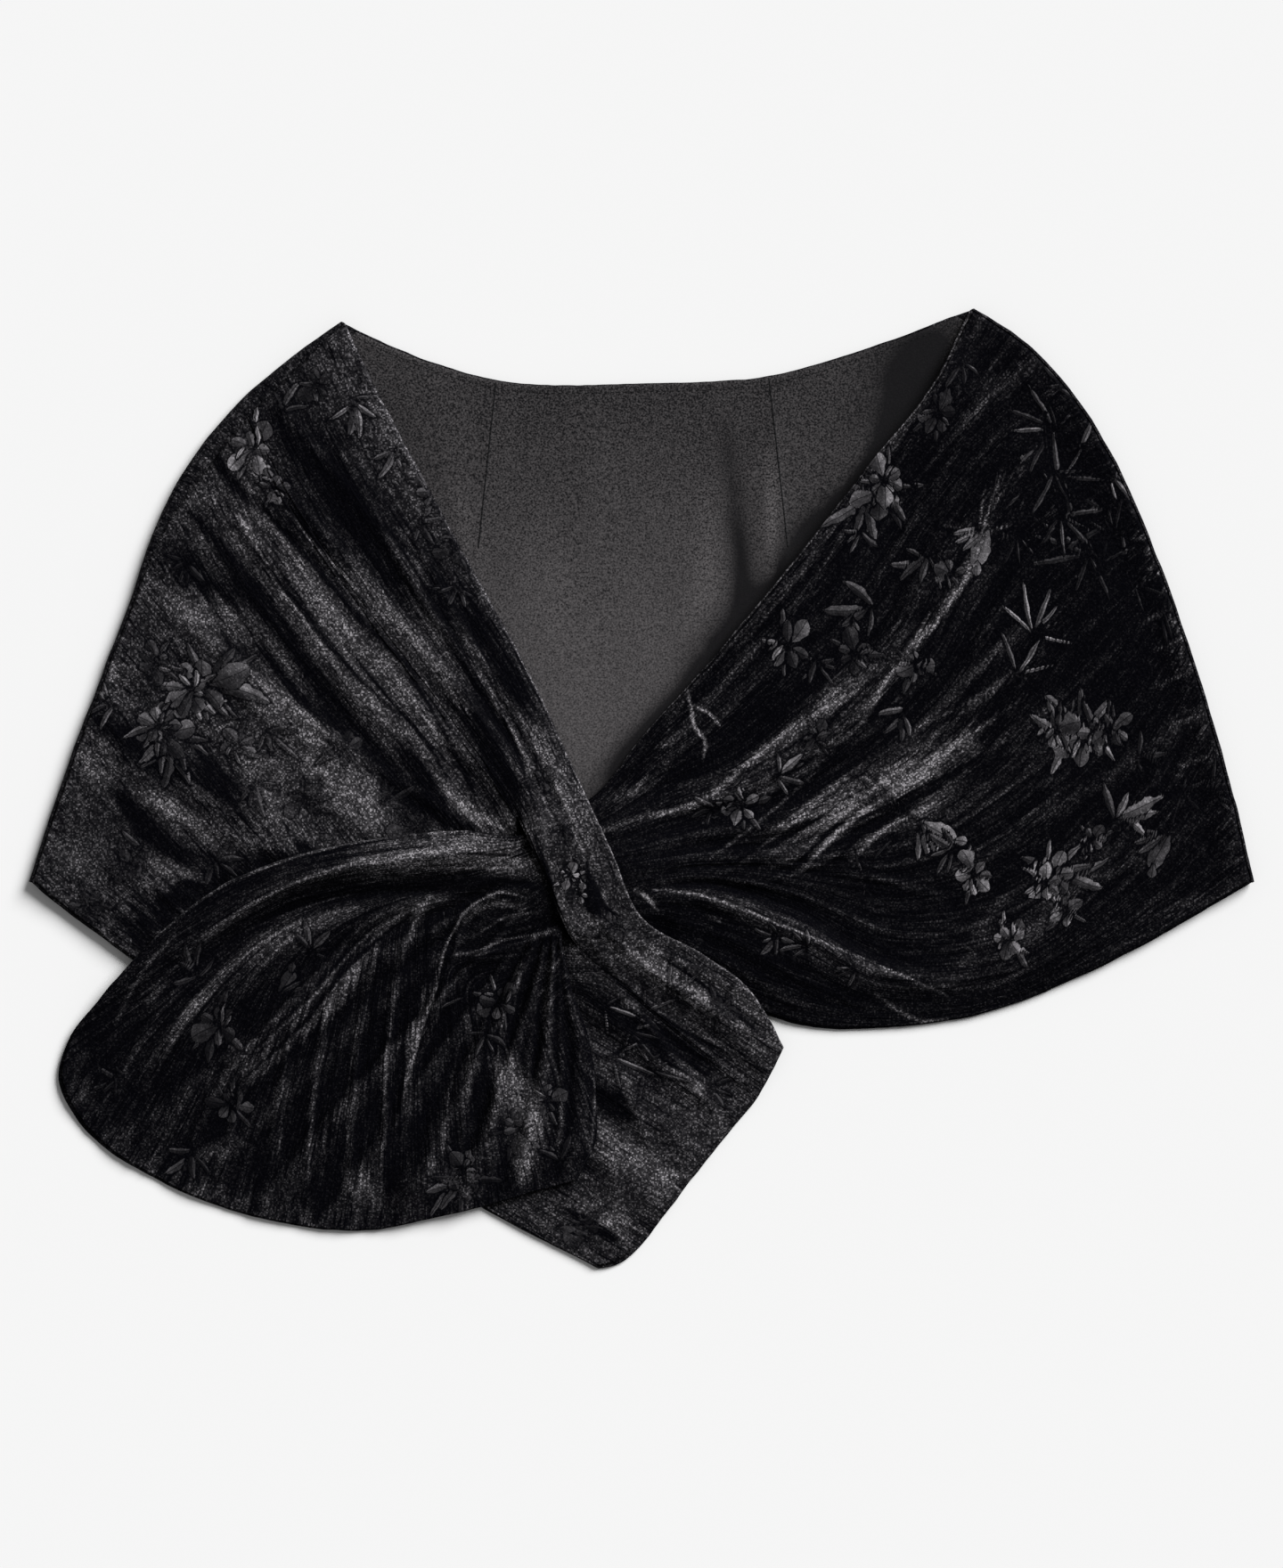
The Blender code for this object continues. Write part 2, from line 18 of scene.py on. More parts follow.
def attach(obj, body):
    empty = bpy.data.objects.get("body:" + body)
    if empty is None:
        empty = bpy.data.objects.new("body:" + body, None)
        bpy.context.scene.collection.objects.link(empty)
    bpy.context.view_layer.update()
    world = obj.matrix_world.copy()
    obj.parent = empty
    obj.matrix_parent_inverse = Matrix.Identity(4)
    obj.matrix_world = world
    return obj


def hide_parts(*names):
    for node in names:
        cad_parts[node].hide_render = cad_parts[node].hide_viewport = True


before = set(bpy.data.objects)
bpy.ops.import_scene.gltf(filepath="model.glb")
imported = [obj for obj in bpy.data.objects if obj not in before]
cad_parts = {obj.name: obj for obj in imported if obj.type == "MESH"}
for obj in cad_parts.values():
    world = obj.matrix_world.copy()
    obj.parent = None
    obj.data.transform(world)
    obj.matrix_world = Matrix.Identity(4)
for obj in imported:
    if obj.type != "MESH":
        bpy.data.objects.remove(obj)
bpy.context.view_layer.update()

MM = 0.001

# The camera looks straight down on the frame of 1440 by 1760 pixels
FRAME_PX = (1440, 1760)
MM_PER_PX = 620 / 1374  # the shawl is 620 mm and 1374 pixels across
VIEW_MIDDLE_Y = 2.3  # the picture's middle lies this far above the shawl's
CAMERA_HEIGHT = 2.5

# The strip beside the slit, and where its middle crosses the gathered neck of cloth
STRIP_HALF = 18.0
STRIP_ANGLE = math.radians(-65)
KNOT = np.array((-28.0, -46.0))
DOWN_STRIP = np.array((math.cos(STRIP_ANGLE), math.sin(STRIP_ANGLE)))
TO_FAN = np.array((DOWN_STRIP[1], -DOWN_STRIP[0]))
SLIT_ENDS = (-44.0, 30.0)  # the slit runs this far up and down the strip from there
SLIT_OPEN = 0.8
JOIN_ENDS = (-35.0, 27.0)  # and under the strip the pulled front goes on as the fan between these

# The cloth: the gap between pieces, the walls, and the radius of the fold at each side
GAP = 0.3
BACK_WALL = 1.6
LINING_WALL = 1.0
LEAST_WALL = 0.6
SIDE_FOLD = 3.6
FOLD_STEPS = 5  # a quarter of a side's fold is made in this many steps
EDGE_DROP = 0.95  # how far a turned edge rounds down from the cloth's top
EDGE_RISE = 0.45  # and how far up from its underside
EDGE_STEPS = (0.5, 1.2)  # rows of points this near an edge shape its rounding
EDGE_SHAPE = (1.0, 0.34, 0.07)
EDGE_SWAY = 0.55  # unevenness of the edges
SEAM_OVERLAP = 0.9  # how far a front's turned edge closes over the gap at its side seam
UNDERSIDE_STEP = 5  # an underside keeps one row of points in this many
OUTLINE_WIDTH = 1.1  # width of the dark line round a petal that lies over another
PETAL_RISE = 0.09  # how far a pressed petal stands over the cloth
PETAL_ROUND = 1.0  # how near its edge it rounds off
PATTERN_FAR = 4.0  # a place further than this from every petal counts as this far
LIT_FROM = math.radians(45)  # the side from which the petals are lit, seen from above

# Lightness of the pile where no stroke lies, the painted highlight on turned neck edges, and per millimetre
# of relief the painted highlight on crests and painted shade in hollows
SLIT_BASE, PULLED_BASE, FAN_BASE, BACK_BASE = 0.19, 0.04, 0.05, 0.13
RIM_PAINTED_HIGHLIGHT = 0.25
RELIEF_PAINTED_LIGHT = 0.16
RELIEF_BLUR = 50  # relief is what stands over the cloth's height blurred in this many rounds
RELIEF_MOST = 1.5
LEAST_PILE = 0.0
LEAST_COMBED = 0.06
SHADE_RANGE = (0.04, 1.8)  # darkest and lightest shading of the lining

# A stroke: steps in its line for each point, how fast it falls off beside the line, how many widths away it
# is read, the share of its length at which its tips are cut, and how wide it is when its ends are streaky
STROKE_STEPS = 6
STROKE_FALL = 2.2
STROKE_REACH = 1.5
STROKE_TIP = 0.05
WIDE_STROKE = 3.0

# Length and width of each panel's cloth as the streaks of its pile are laid out
PULLED_CLOTH = (360, 250)
SLIT_CLOTH = (430, 230)
FAN_CLOTH = (270, 300)
LINING_CLOTH = (600, 320)
BACK_CLOTH = (620, 320)
LINING_SHARES = ((0.03, 0.97), (0.004, 0.95))  # the shares of the back's plan that the lining takes up

# The pulled front's neck edge stands off the lining: how far, and over which share of the panel
NECK_LIFT = 7.0
NECK_LIFT_SHARE = 0.17

# Below the rolled fold the fan's streaks run out from this point, and are as far apart as at this radius,
# counted from this angle
FAN_FLOW_FROM = (-112, 70)
FAN_FLOW_RADIUS = 270.0
FAN_FLOW_ANGLE = math.radians(-141)

# In the tail the streaks run at this angle, measured from this place
TAIL_FLOW = math.radians(-33)
TAIL_FLOW_FROM = (-14, -75)

# The darts in the back's lining, from the neckline to their tips, and the height of the cloth in them
DARTS = ((-73.6, 206.7, -82.6, 121.0), (64.5, 208.9, 74.0, 121.8))
DART_RISE = 0.35

# Stitches: pitch, length and height over the cloth, and the thickness of the thread
UNDERSTITCH = (3.3, 2.3, 0.02)
UNDERSTITCH_THREAD = 0.5
UNDERSTITCH_IN = 4.2  # how far below the neckline they run
# along the darts the beads overlap into one dark line: the dart's seam and the shade in its fold
DART_SEAM_AND_SHADE_BEADS = (2.4, 3.4, 0.1)
DART_SEAM_AND_SHADE_THICKNESS = 0.75

# Each stitch is a bead of rings: share of its length, of its width, and of its width in the cloth
BEAD_SIDES = 6
BEAD_RINGS = ((0, 0.3, 0.35), (0.2, 1, 0), (0.8, 1, 0), (1, 0.3, 0.35))

# Light: the sun's strength, its width and the way to it, and the strength of the light from all round
SUN_STRENGTH = 4.55
SUN_WIDTH = math.radians(34)
SUN_FROM = (0.62, 0.62, 0.64)
WORLD_STRENGTH = 0.2
FLOOR_SIZE = 6
FLOOR_Z = -0.0003

# Outlines, each from the neckline down or from left to right
LEFT_SIDE = ((-152, 236), (-176, 219), (-209, 190), (-238, 149), (-262, 86), (-286, 23), (-310, -47))
RIGHT_SIDE = ((168, 243), (190, 229), (216, 203), (240, 165), (261, 117), (283, 54), (301, -9), (310, -47))
NECKLINE = ((-152, 236), (-122, 222), (-74, 207), (0, 205), (65, 209), (126, 227), (168, 243))
BACK_HEM = ((-310, -47), (-259, -68), (-150, -84), (0, -88), (150, -86), (262, -68), (310, -47))
TAIL_END = ((72, -131), (62, -151), (37, -183), (13, -214), (-2, -233), (-12, -241), (-22, -243))
FAN_HEM = (
    (-244, -73), (-272, -104), (-290, -128), (-295, -146), (-286, -167), (-245, -198), (-180, -220),
    (-144, -224), (-108, -218), (-54, -204), (-33, -198),
)  # fmt: skip
# Rows of points across a front in its solid, with the slit at LIP_ROW
ROWS = np.array((
    0, 0.05, 0.1, 0.15, 0.2, 0.25, 0.3, 0.36, 0.42, 0.48, 0.54, 0.6, 0.66, 0.72, 0.775, 0.8, 0.86, 0.93, 1,
))  # fmt: skip
LIP_ROW = 4
# How far in from a side's fold its seam lies: share of the side, and millimetres
LEFT_SEAM = ((0.0, 2.0), (0.15, 8.5), (0.3, 9.5), (0.42, 5.0), (0.52, 2.0), (1.0, 1.5))
RIGHT_SEAM = ((0.0, 1.5), (1.0, 1.5))


def at_strip(down, out):
    """Plan place of a point given by its place down the strip and out towards the fan."""
    return KNOT + DOWN_STRIP * down + TO_FAN * out


def across_strip(down):
    """Plan places of the strip's outer edge and of the slit, as x, y, x, y."""
    return (*at_strip(down, -STRIP_HALF), *at_strip(down, STRIP_HALF))


# Sections of each front, from its side seam on: share of the length, then x and y on each lengthwise line
SLIT_LINES = (0.0, 0.2, 0.6, 1.0)
SLIT_FRONT = (
    # share, neck edge, line of the slit, middle, hem
    (0.000, -152, 236, -205, 194, -263, 82, -310, -47),
    (0.150, -122, 179, -174, 139, -237, 44, -292, -61),
    (0.320, -86, 112, -130, 77, -206, 4, -268, -79),
    (0.460, -56, 57, -96, 33, -178, -30, -247, -94),
    (0.605, *across_strip(SLIT_ENDS[0]), -151, -62, -224, -111),
    (0.695, *across_strip(-8), -126, -87, -202, -127),
    (0.785, *across_strip(SLIT_ENDS[1]), -101, -112, -177, -144),
    (0.865, 30, -83, 0, -108, -60, -142, -131, -176),
    (0.935, 56, -103, 29, -134, -20, -173, -79, -213),
    (1.000, 72, -131, 52, -163, 21, -204, -22, -243),
)
SLIT_FROM, SLIT_TO = SLIT_FRONT[4][0], SLIT_FRONT[6][0]
SAME_SHARE = 1e-6
PULLED_LINES = (0.0, 0.3, 0.55, 0.8, 1.0)
PULLED_FRONT = (
    # share, neck edge, ridge of the upper band, middle, edge of the lower pleat, hem
    (0.00, 168, 243, 236, 172, 268, 96, 293, 17, 310, -47),
    (0.14, 146, 202, 197, 150, 243, 62, 266, -22, 267, -72),
    (0.28, 116, 165, 165, 114, 213, 28, 232, -56, 222, -95),
    (0.42, 87, 128, 137, 66, 178, -5, 186, -88, 176, -113),
    (0.56, 58, 92, 100, 29, 136, -27, 124, -92, 127, -121),
    (0.70, 27, 56, 59, 2, 88, -35, 78, -68, 78, -119),
    (0.82, 0, 26, 20, -10, 40, -36, 40, -54, 38, -103),
    (0.93, -24, -3, -13, -23, 0, -40, 4, -53, 6, -82),
    (1.00, -43, -14, -35, -31, -28, -45, -22, -59, -17, -70),
)
FAN_LINES = (0.0, 0.2, 0.45, 0.72, 1.0)
PULLED_END = (
    # share, top edge, foot of the rolled fold, upper pleat, lower pleat, right edge
    (0.00, -43, -15, -38, -26, -31, -40, -24, -55, -17, -71),
    (0.09, -59, -23, -54, -32, -49, -43, -44, -55, -37, -69),
    (0.25, -92, -21, -86, -45, -84, -68, -62, -88, -36, -96),
    (0.45, -133, -25, -130, -52, -125, -99, -85, -127, -27, -125),
    (0.65, -176, -34, -180, -64, -168, -135, -107, -165, -23, -152),
    (0.85, -217, -52, -237, -99, -212, -177, -127, -202, -24, -181),
    (1.00, -244, -73, -292, -133, -238, -201, -138, -223, -33, -198),
)
LIP_SHARE = PULLED_END[1][0]

# Creases placed one by one: height, width of the side to the left of the way it runs, width of the right
# side, then the points that it runs through
SLIT_CREASES = (
    (1.5, 5, 8, -222, 150, -160, 92, -100, 30, -62, -8),
    (1.3, 4, 7, -205, 176, -150, 118, -92, 50, -52, -4), (-1.0, 4, 4, -214, 160, -150, 100, -96, 40),
    (1.2, 6, 5, -240, 92, -180, 44, -118, 0, -70, -30),
    (1.0, 6, 8, -256, 60, -200, 20, -140, -18, -90, -36), (-0.9, 5, 5, -248, 76, -190, 32, -130, -8),
    (0.9, 6, 6, -276, 6, -220, -20, -170, -36), (0.8, 7, 7, -290, -30, -240, -52, -200, -62),
    (1.2, 3, 4, -150, 168, -112, 100, -74, 42, -50, 6), (1.2, 3, 3, -116, 128, -84, 70, -56, 20, -44, -4),
    (1.1, 2, 2.5, -96, 84, -68, 34, -48, -2, -38, -22), (0.6, 2, 2, -80, 72, -56, 26, -36, -12, -20, -44),
    (0.9, 4, 5, -188, 200, -140, 140, -104, 84), (1.5, 3, 4, -22, -66, 0, -88, 30, -108, 58, -124),
    (1.1, 3, 4, -26, -76, -2, -104, 26, -128, 50, -148), (1.3, 4, 5, -20, -92, 8, -126, 32, -158, 42, -172),
    (1.0, 4, 4, -8, -74, 24, -90, 52, -104, 66, -114), (0.9, 5, 5, -18, -128, 0, -170, 12, -204),
    (0.8, 5, 5, -24, -160, -14, -196, -8, -228),
)
PULLED_CREASES = (
    (1.8, 5, 4, 196, 168, 172, 128, 140, 74, 104, 34, 60, 4, 16, -12, -12, -22),
    (-1.2, 5, 5, 206, 150, 182, 106, 148, 52, 108, 16, 62, -10),
    (1.4, 4, 5, 232, 120, 196, 84, 150, 40, 110, 4, 66, -22, 20, -36),
    (1.4, 4, 4, 214, 78, 170, 44, 120, 6, 84, -22, 48, -40, 10, -47),
    (1.2, 4, 5, 168, 22, 124, -8, 88, -30, 48, -46, 12, -50),
    (1.1, 3, 4, 148, -6, 110, -28, 72, -44, 32, -51), (-0.9, 4, 4, 160, 8, 116, -18, 76, -38, 40, -49),
    (1.0, 5, 5, 264, 92, 226, 58, 184, 24), (0.9, 6, 6, 284, 40, 244, 12, 204, -14, 160, -44),
    (0.9, 5, 6, 288, -14, 246, -38, 204, -58), (1.0, 4, 4, 150, 196, 118, 146, 84, 102, 44, 56, 10, 22),
    (0.9, 4, 4, 176, 200, 142, 142, 108, 92, 70, 50), (1.1, 3, 3, 66, 62, 34, 30, 4, 8, -18, -6),
    (0.7, 0.9, 5, 6, -52, 22, -53, 34, -56, 46, -60, 74, -71, 110, -86, 156, -106),
    (0.7, 4, 4, 10, -64, 44, -76, 84, -98, 116, -112), (0.9, 4, 4, 14, -74, 46, -90, 80, -110),
    (1.0, 3, 3, 20, -42, 60, -40, 104, -42, 150, -54),
)
FAN_CREASES = (
    (2.6, 9, 2.2, -37, -67, -56, -76, -76, -83, -94, -83),
    (1.4, 2, 5, -94, -83, -92, -68, -80, -56, -60, -50, -46, -50),
    (1.8, 3, 5, -96, -86, -100, -104, -107, -124, -117, -146, -123, -170),
    (2.2, 4, 8, -50, -30, -86, -32, -122, -36, -158, -42, -198, -60, -232, -84),
    (-1.6, 4, 4, -52, -46, -78, -52, -122, -52, -168, -58, -212, -80, -242, -106),
    (1.6, 4, 3, -114, -56, -138, -68, -154, -84, -172, -102, -192, -124, -212, -148, -226, -176),
    (1.2, 4, 4, -148, -57, -180, -72, -208, -92, -232, -120, -252, -152),
    (0.9, 4, 4, -196, -70, -226, -92, -248, -120, -266, -150),
    (1.3, 3, 4, -112, -60, -122, -90, -128, -130, -130, -190),
    (1.1, 3, 3, -134, -82, -142, -118, -146, -160, -147, -202),
    (1.1, 3, 4, -155, -98, -162, -130, -167, -168, -169, -206),
    (1.0, 3, 4, -175, -116, -182, -150, -188, -190), (1.0, 3, 4, -197, -138, -206, -168, -213, -196),
    (1.2, 3, 4, -70, -90, -80, -120, -88, -156, -92, -196),
    (1.2, 3, 4, -60, -86, -68, -116, -73, -152, -75, -196),
    (1.3, 3, 4, -50, -80, -54, -112, -57, -150, -57, -192),
    (1.1, 3, 3, -42, -84, -41, -116, -40, -150, -41, -186),
    (1.0, 2, 3, -60, -30, -98, -27, -140, -30, -180, -40),
)
LINING_CREASES = (
    (0.9, 14, 9, 66, 176, 64, 146, 66, 126, 76, 104), (-0.5, 10, 9, 46, 168, 46, 140, 50, 112),
    (0.6, 16, 14, -30, 190, -26, 130, -30, 70), (0.5, 12, 12, -106, 206, -100, 180, -88, 150),
    (0.7, 10, 12, 116, 196, 104, 172, 92, 150),
)

# How the crushed pile lies, with painted light and shade: lightness added, width of the side to the left of
# the way the stroke runs, width of the right side, then the points that it runs through. Below 0 it is
# darker, where the pile stands up and where shade is painted under folds, in creases and in the knot's
# pockets; above 0 some strokes are painted highlights along the edges and ridges of folds.
SLIT_PILE_AND_PAINTED_LIGHT = (
    (0.18, 7, 6, -150, 226, -135, 190, -120, 160, -104, 128), (0.18, 8, 10, -122, 130, -108, 106),
    (0.14, 7, 7, -232, 146, -214, 130, -200, 116), (0.2, 5, 6, -198, 148, -180, 124, -164, 104),
    (0.2, 4, 4, -204, 134, -186, 108, -168, 84, -150, 62), (0.24, 14, 12, -240, 96, -224, 88, -208, 80),
    (0.21, 14, 18, -176, 112, -150, 76, -124, 42, -104, 18), (0.22, 6, 6, -146, 108, -116, 76, -94, 44),
    (0.21, 18, 20, -206, 80, -184, 48, -160, 12, -140, -12), (0.2, 16, 12, -204, 30, -190, 0, -176, -24),
    (0.2, 14, 12, -160, 4, -130, -12), (0.22, 4, 4, -120, 100, -92, 60, -68, 20, -48, -22),
    (0.2, 3, 4, -96, 84, -70, 38, -50, -4), (0.2, 8, 8, -58, 36, -42, 4, -26, -30),
    (0.3, 5, 6, -100, 4, -86, -14, -68, -22), (0.14, 12, 12, -292, -30, -276, -50),
    (0.22, 8, 7, -262, 2, -236, -12, -214, -30), (0.18, 10, 9, -250, -34, -228, -46),
    (0.14, 14, 12, -284, 14, -266, 4), (0.12, 10, 10, -258, 116, -266, 84),
    (0.16, 10, 10, -270, 64, -262, 52), (0.14, 10, 8, -170, 212, -156, 206),
    (0.18, 8, 8, -206, 178, -190, 160),
    (-0.5, 4, 6, -222, 138, -192, 96, -164, 56, -136, 18, -110, -8, -84, -20),
    (-0.42, 3, 4, -196, 76, -172, 46, -150, 30), (-0.3, 3, 3, -190, 120, -168, 88, -146, 56),
    (-0.28, 20, 15, -187, 194, -153, 150, -118, 107, -92, 86),
    (-0.2, 12, 12, -240, 122, -222, 106, -200, 96), (-0.24, 10, 9, -186, 156, -170, 134, -156, 118),
    (-0.3, 12, 12, -94, 74, -76, 30, -62, -4), (-0.3, 5, 5, -84, 40, -70, 8, -58, -16),
    (-0.34, 6, 7, -120, 22, -104, -2, -96, -12), (-0.4, 10, 9, -270, 32, -246, 14, -214, 4, -204, -6),
    (-0.24, 12, 10, -214, 76, -200, 66), (-0.5, 9, 12, -256, -74, -228, -54, -200, -42, -170, -34),
    (-0.28, 10, 8, -262, -2, -248, -24, -226, -36), (-0.3, 8, 8, -84, 88, -68, 60, -54, 34),
    (-0.24, 4, 4, -216, 168, -200, 146), (-0.5, 3, 5, -54, -26, -48, -44, -42, -62),
    (-1.0, 5, 6, -27, -50, -21, -60), (0.3, 1.4, 1.4, -19, -51, -17, -60),
    (-0.4, 1.2, 1.2, -34, -36, -30, -48), (-0.4, 1, 1.2, -28, -34, -26, -46),
    (0.2, 6, 8, -30, -60, -12, -80, 12, -96), (0.22, 8, 10, -8, -74, 20, -96, 48, -116),
    (0.2, 5, 6, 34, -94, 56, -112, 68, -130), (0.2, 12, 12, 20, -146, 36, -168),
    (0.24, 14, 14, -14, -176, 10, -196), (0.2, 10, 10, -30, -206, -8, -226),
    (0.2, 8, 8, 10, -204, 20, -190), (-0.26, 10, 10, -32, -104, 0, -124, 32, -136),
    (-0.26, 8, 8, -30, -150, -4, -166), (-0.24, 4, 4, -36, -214, -10, -230),
    (-0.5, 1.2, 2, -196, 148, -170, 118, -140, 84, -112, 56),
    (-0.5, 1.2, 2, -206, 134, -176, 96, -148, 62, -122, 36),
    (-0.5, 1.5, 1.5, -228, 140, -206, 114, -188, 88),
    (-0.45, 1.2, 1.5, -150, 74, -128, 46, -106, 20, -96, 2), (-0.4, 1, 1.6, -116, 56, -98, 26, -84, -4),
    (-0.4, 1, 1.6, -94, 50, -78, 14, -64, -14), (-0.35, 1, 1.4, -160, 166, -136, 138, -112, 116),
    (-0.4, 1, 1.4, -74, 46, -62, 16, -52, -14), (0.3, 1, 1, -188, 150, -160, 118, -128, 84),
    (0.3, 1, 1, -146, 100, -118, 66, -92, 28), (0.35, 1, 1, -204, 138, -196, 128),
    (0.3, 1, 1, -128, 60, -108, 34, -96, 12), (0.3, 1, 1.2, -100, 0, -82, -14, -66, -22),
    (-0.4, 1.2, 2, -36, -214, -14, -228), (-0.35, 1, 1.6, -20, -90, 14, -118, 44, -134),
    (-0.35, 1, 1.6, -26, -106, 4, -132, 30, -148), (0.3, 1, 1, -14, -82, 20, -106, 50, -120),
    (-0.35, 1, 1.6, 10, -84, 40, -106, 62, -126), (0.3, 1, 1, -66, 30, -50, -4, -40, -28),
    (0.3, 1.2, 1, -44, 4, -34, -20, -26, -42),
)  # fmt: skip
PULLED_PILE_AND_PAINTED_LIGHT = (
    (0.2, 2, 3, 164, 236, 150, 212, 142, 200), (0.16, 4, 6, 158, 226, 146, 206, 136, 190),
    (0.2, 2, 3, 140, 196, 120, 166, 86, 116, 50, 72), (0.1, 5, 5, 178, 206, 150, 168),
    (0.1, 4, 4, 190, 214, 168, 186), (0.1, 8, 8, 60, 74, 40, 56),
    (0.42, 1.2, 3, 181, 160, 171, 121, 158, 95, 137, 72, 122, 52, 104, 26, 86, 16),
    (0.3, 1.2, 2.5, 176, 134, 168, 114, 156, 94), (0.24, 7, 10, 136, 80, 112, 54, 84, 30, 54, 8, 24, -8),
    (0.2, 6, 8, 112, 66, 88, 38), (0.26, 2, 4, 92, 14, 66, 0, 40, -14),
    (-0.25, 5, 4, 96, 66, 62, 36, 30, 10), (0.38, 12, 14, 166, 24, 130, 4, 96, -14, 74, -34),
    (0.4, 1.6, 1.6, 150, 10, 124, -4, 100, -22, 80, -42), (0.4, 1.4, 1.6, 136, 14, 110, -6, 84, -28),
    (0.45, 2, 2.4, 128, -2, 104, -16, 88, -34), (0.35, 1.2, 1.6, 176, 34, 146, 12, 112, -6),
    (0.4, 1.6, 2, 150, -8, 126, -18, 106, -36), (0.35, 1.2, 1.4, 104, 6, 78, -16, 50, -38),
    (0.3, 1.2, 1.4, 90, 10, 60, -16, 34, -36), (0.3, 1.2, 1.4, 122, 20, 92, -2, 66, -22),
    (0.3, 1, 1.2, 196, 48, 160, 24, 130, 8), (0.25, 1, 1.2, 208, 16, 174, -8, 148, -26),
    (0.25, 1, 1.2, 216, 2, 184, -22, 156, -40), (0.22, 1, 1.2, 196, 62, 158, 40, 128, 26),
    (-0.4, 1.2, 1.5, 130, 4, 98, -20, 72, -44), (-0.3, 1, 1.5, 172, 16, 134, -4, 102, -20),
    (-0.3, 1.2, 1.2, 106, -4, 74, -24, 44, -38), (-0.4, 1.2, 1.5, 150, 0, 122, -14, 98, -36),
    (-0.3, 1, 1.4, 120, 58, 92, 32, 60, 12), (0.2, 12, 12, 160, 6, 134, -20),
    (0.16, 8, 8, 246, -26, 222, -46, 202, -68, 176, -90), (0.14, 6, 6, 188, -50, 168, -78, 156, -98),
    (0.1, 1.5, 9, 52, -66, 96, -86, 132, -102),
    (0.55, 0.6, 0.9, 6, -51, 22, -52, 34, -55, 46, -59, 74, -70, 110, -85, 154, -104),
    (-0.2, 5, 10, 10, -64, 50, -80, 96, -100), (0.3, 1.5, 2, 118, -104, 140, -117, 160, -117),
    (0.6, 1.4, 1.4, -3, -51, 3, -55, 8, -62),
    (0.4, 1.5, 2.8, -19, -21, 4, -13, 24, -9, 48, 8, 68, 26, 110, 50), (-0.3, 4, 3, 0, 4, 30, 12, 60, 34),
    (0.25, 4, 4, -16, -6, 2, 2, 16, 12), (0.12, 4, 4, 12, 20, 44, 54),
    (0.3, 3, 2.5, 248, 146, 258, 120, 268, 92, 280, 58), (0.14, 4, 4, 284, 44, 296, 0, 304, -36),
    (0.14, 4, 4, 250, -66, 290, -54), (0.4, 0.9, 0.9, 262, 110, 246, 99),
    (0.35, 0.9, 0.9, 269, 92, 250, 82), (0.4, 1, 0.9, 274, 76, 258, 69), (0.35, 0.9, 0.9, 280, 60, 260, 52),
    (0.35, 0.9, 0.9, 286, 38, 268, 32), (0.3, 0.9, 0.9, 292, 18, 272, 11),
    (0.5, 0.8, 0.8, 172, 130, 177, 146, 182, 160),
    (0.4, 0.8, 0.8, 174, 130, 180, 146, 187, 158), (0.35, 0.8, 0.8, 171, 132, 172, 144, 174, 154),
    (0.4, 0.8, 0.8, 153, 133, 162, 131, 170, 128), (0.4, 0.8, 0.8, 189, 134, 180, 131, 172, 127),
    (0.1, 2, 3, 262, 70, 284, 60), (0.1, 2, 3, 268, 40, 292, 30),
    (-0.15, 26, 26, 214, 160, 236, 110, 250, 60), (-0.1, 20, 20, 196, 110, 214, 60, 240, 40),
    (0.14, 6, 6, 28, -62, 34, -72), (0.12, 3, 3, 238, 36, 214, 18), (0.1, 5, 5, 200, 84, 160, 60),
    (0.14, 2, 2, 144, -100, 176, -100, 206, -84), (-0.24, 4, 4, 148, 184, 118, 140, 96, 108),
    (0.3, 1, 1, 140, 190, 112, 148, 92, 112), (0.8, 1.1, 1.1, 23, 50, 25, 40, 27, 31, 32, 24, 31, 14),
    (0.7, 1, 1, 26, 42, 34, 38, 40, 32), (0.16, 3, 3, 20, 44, 12, 22),
)  # fmt: skip
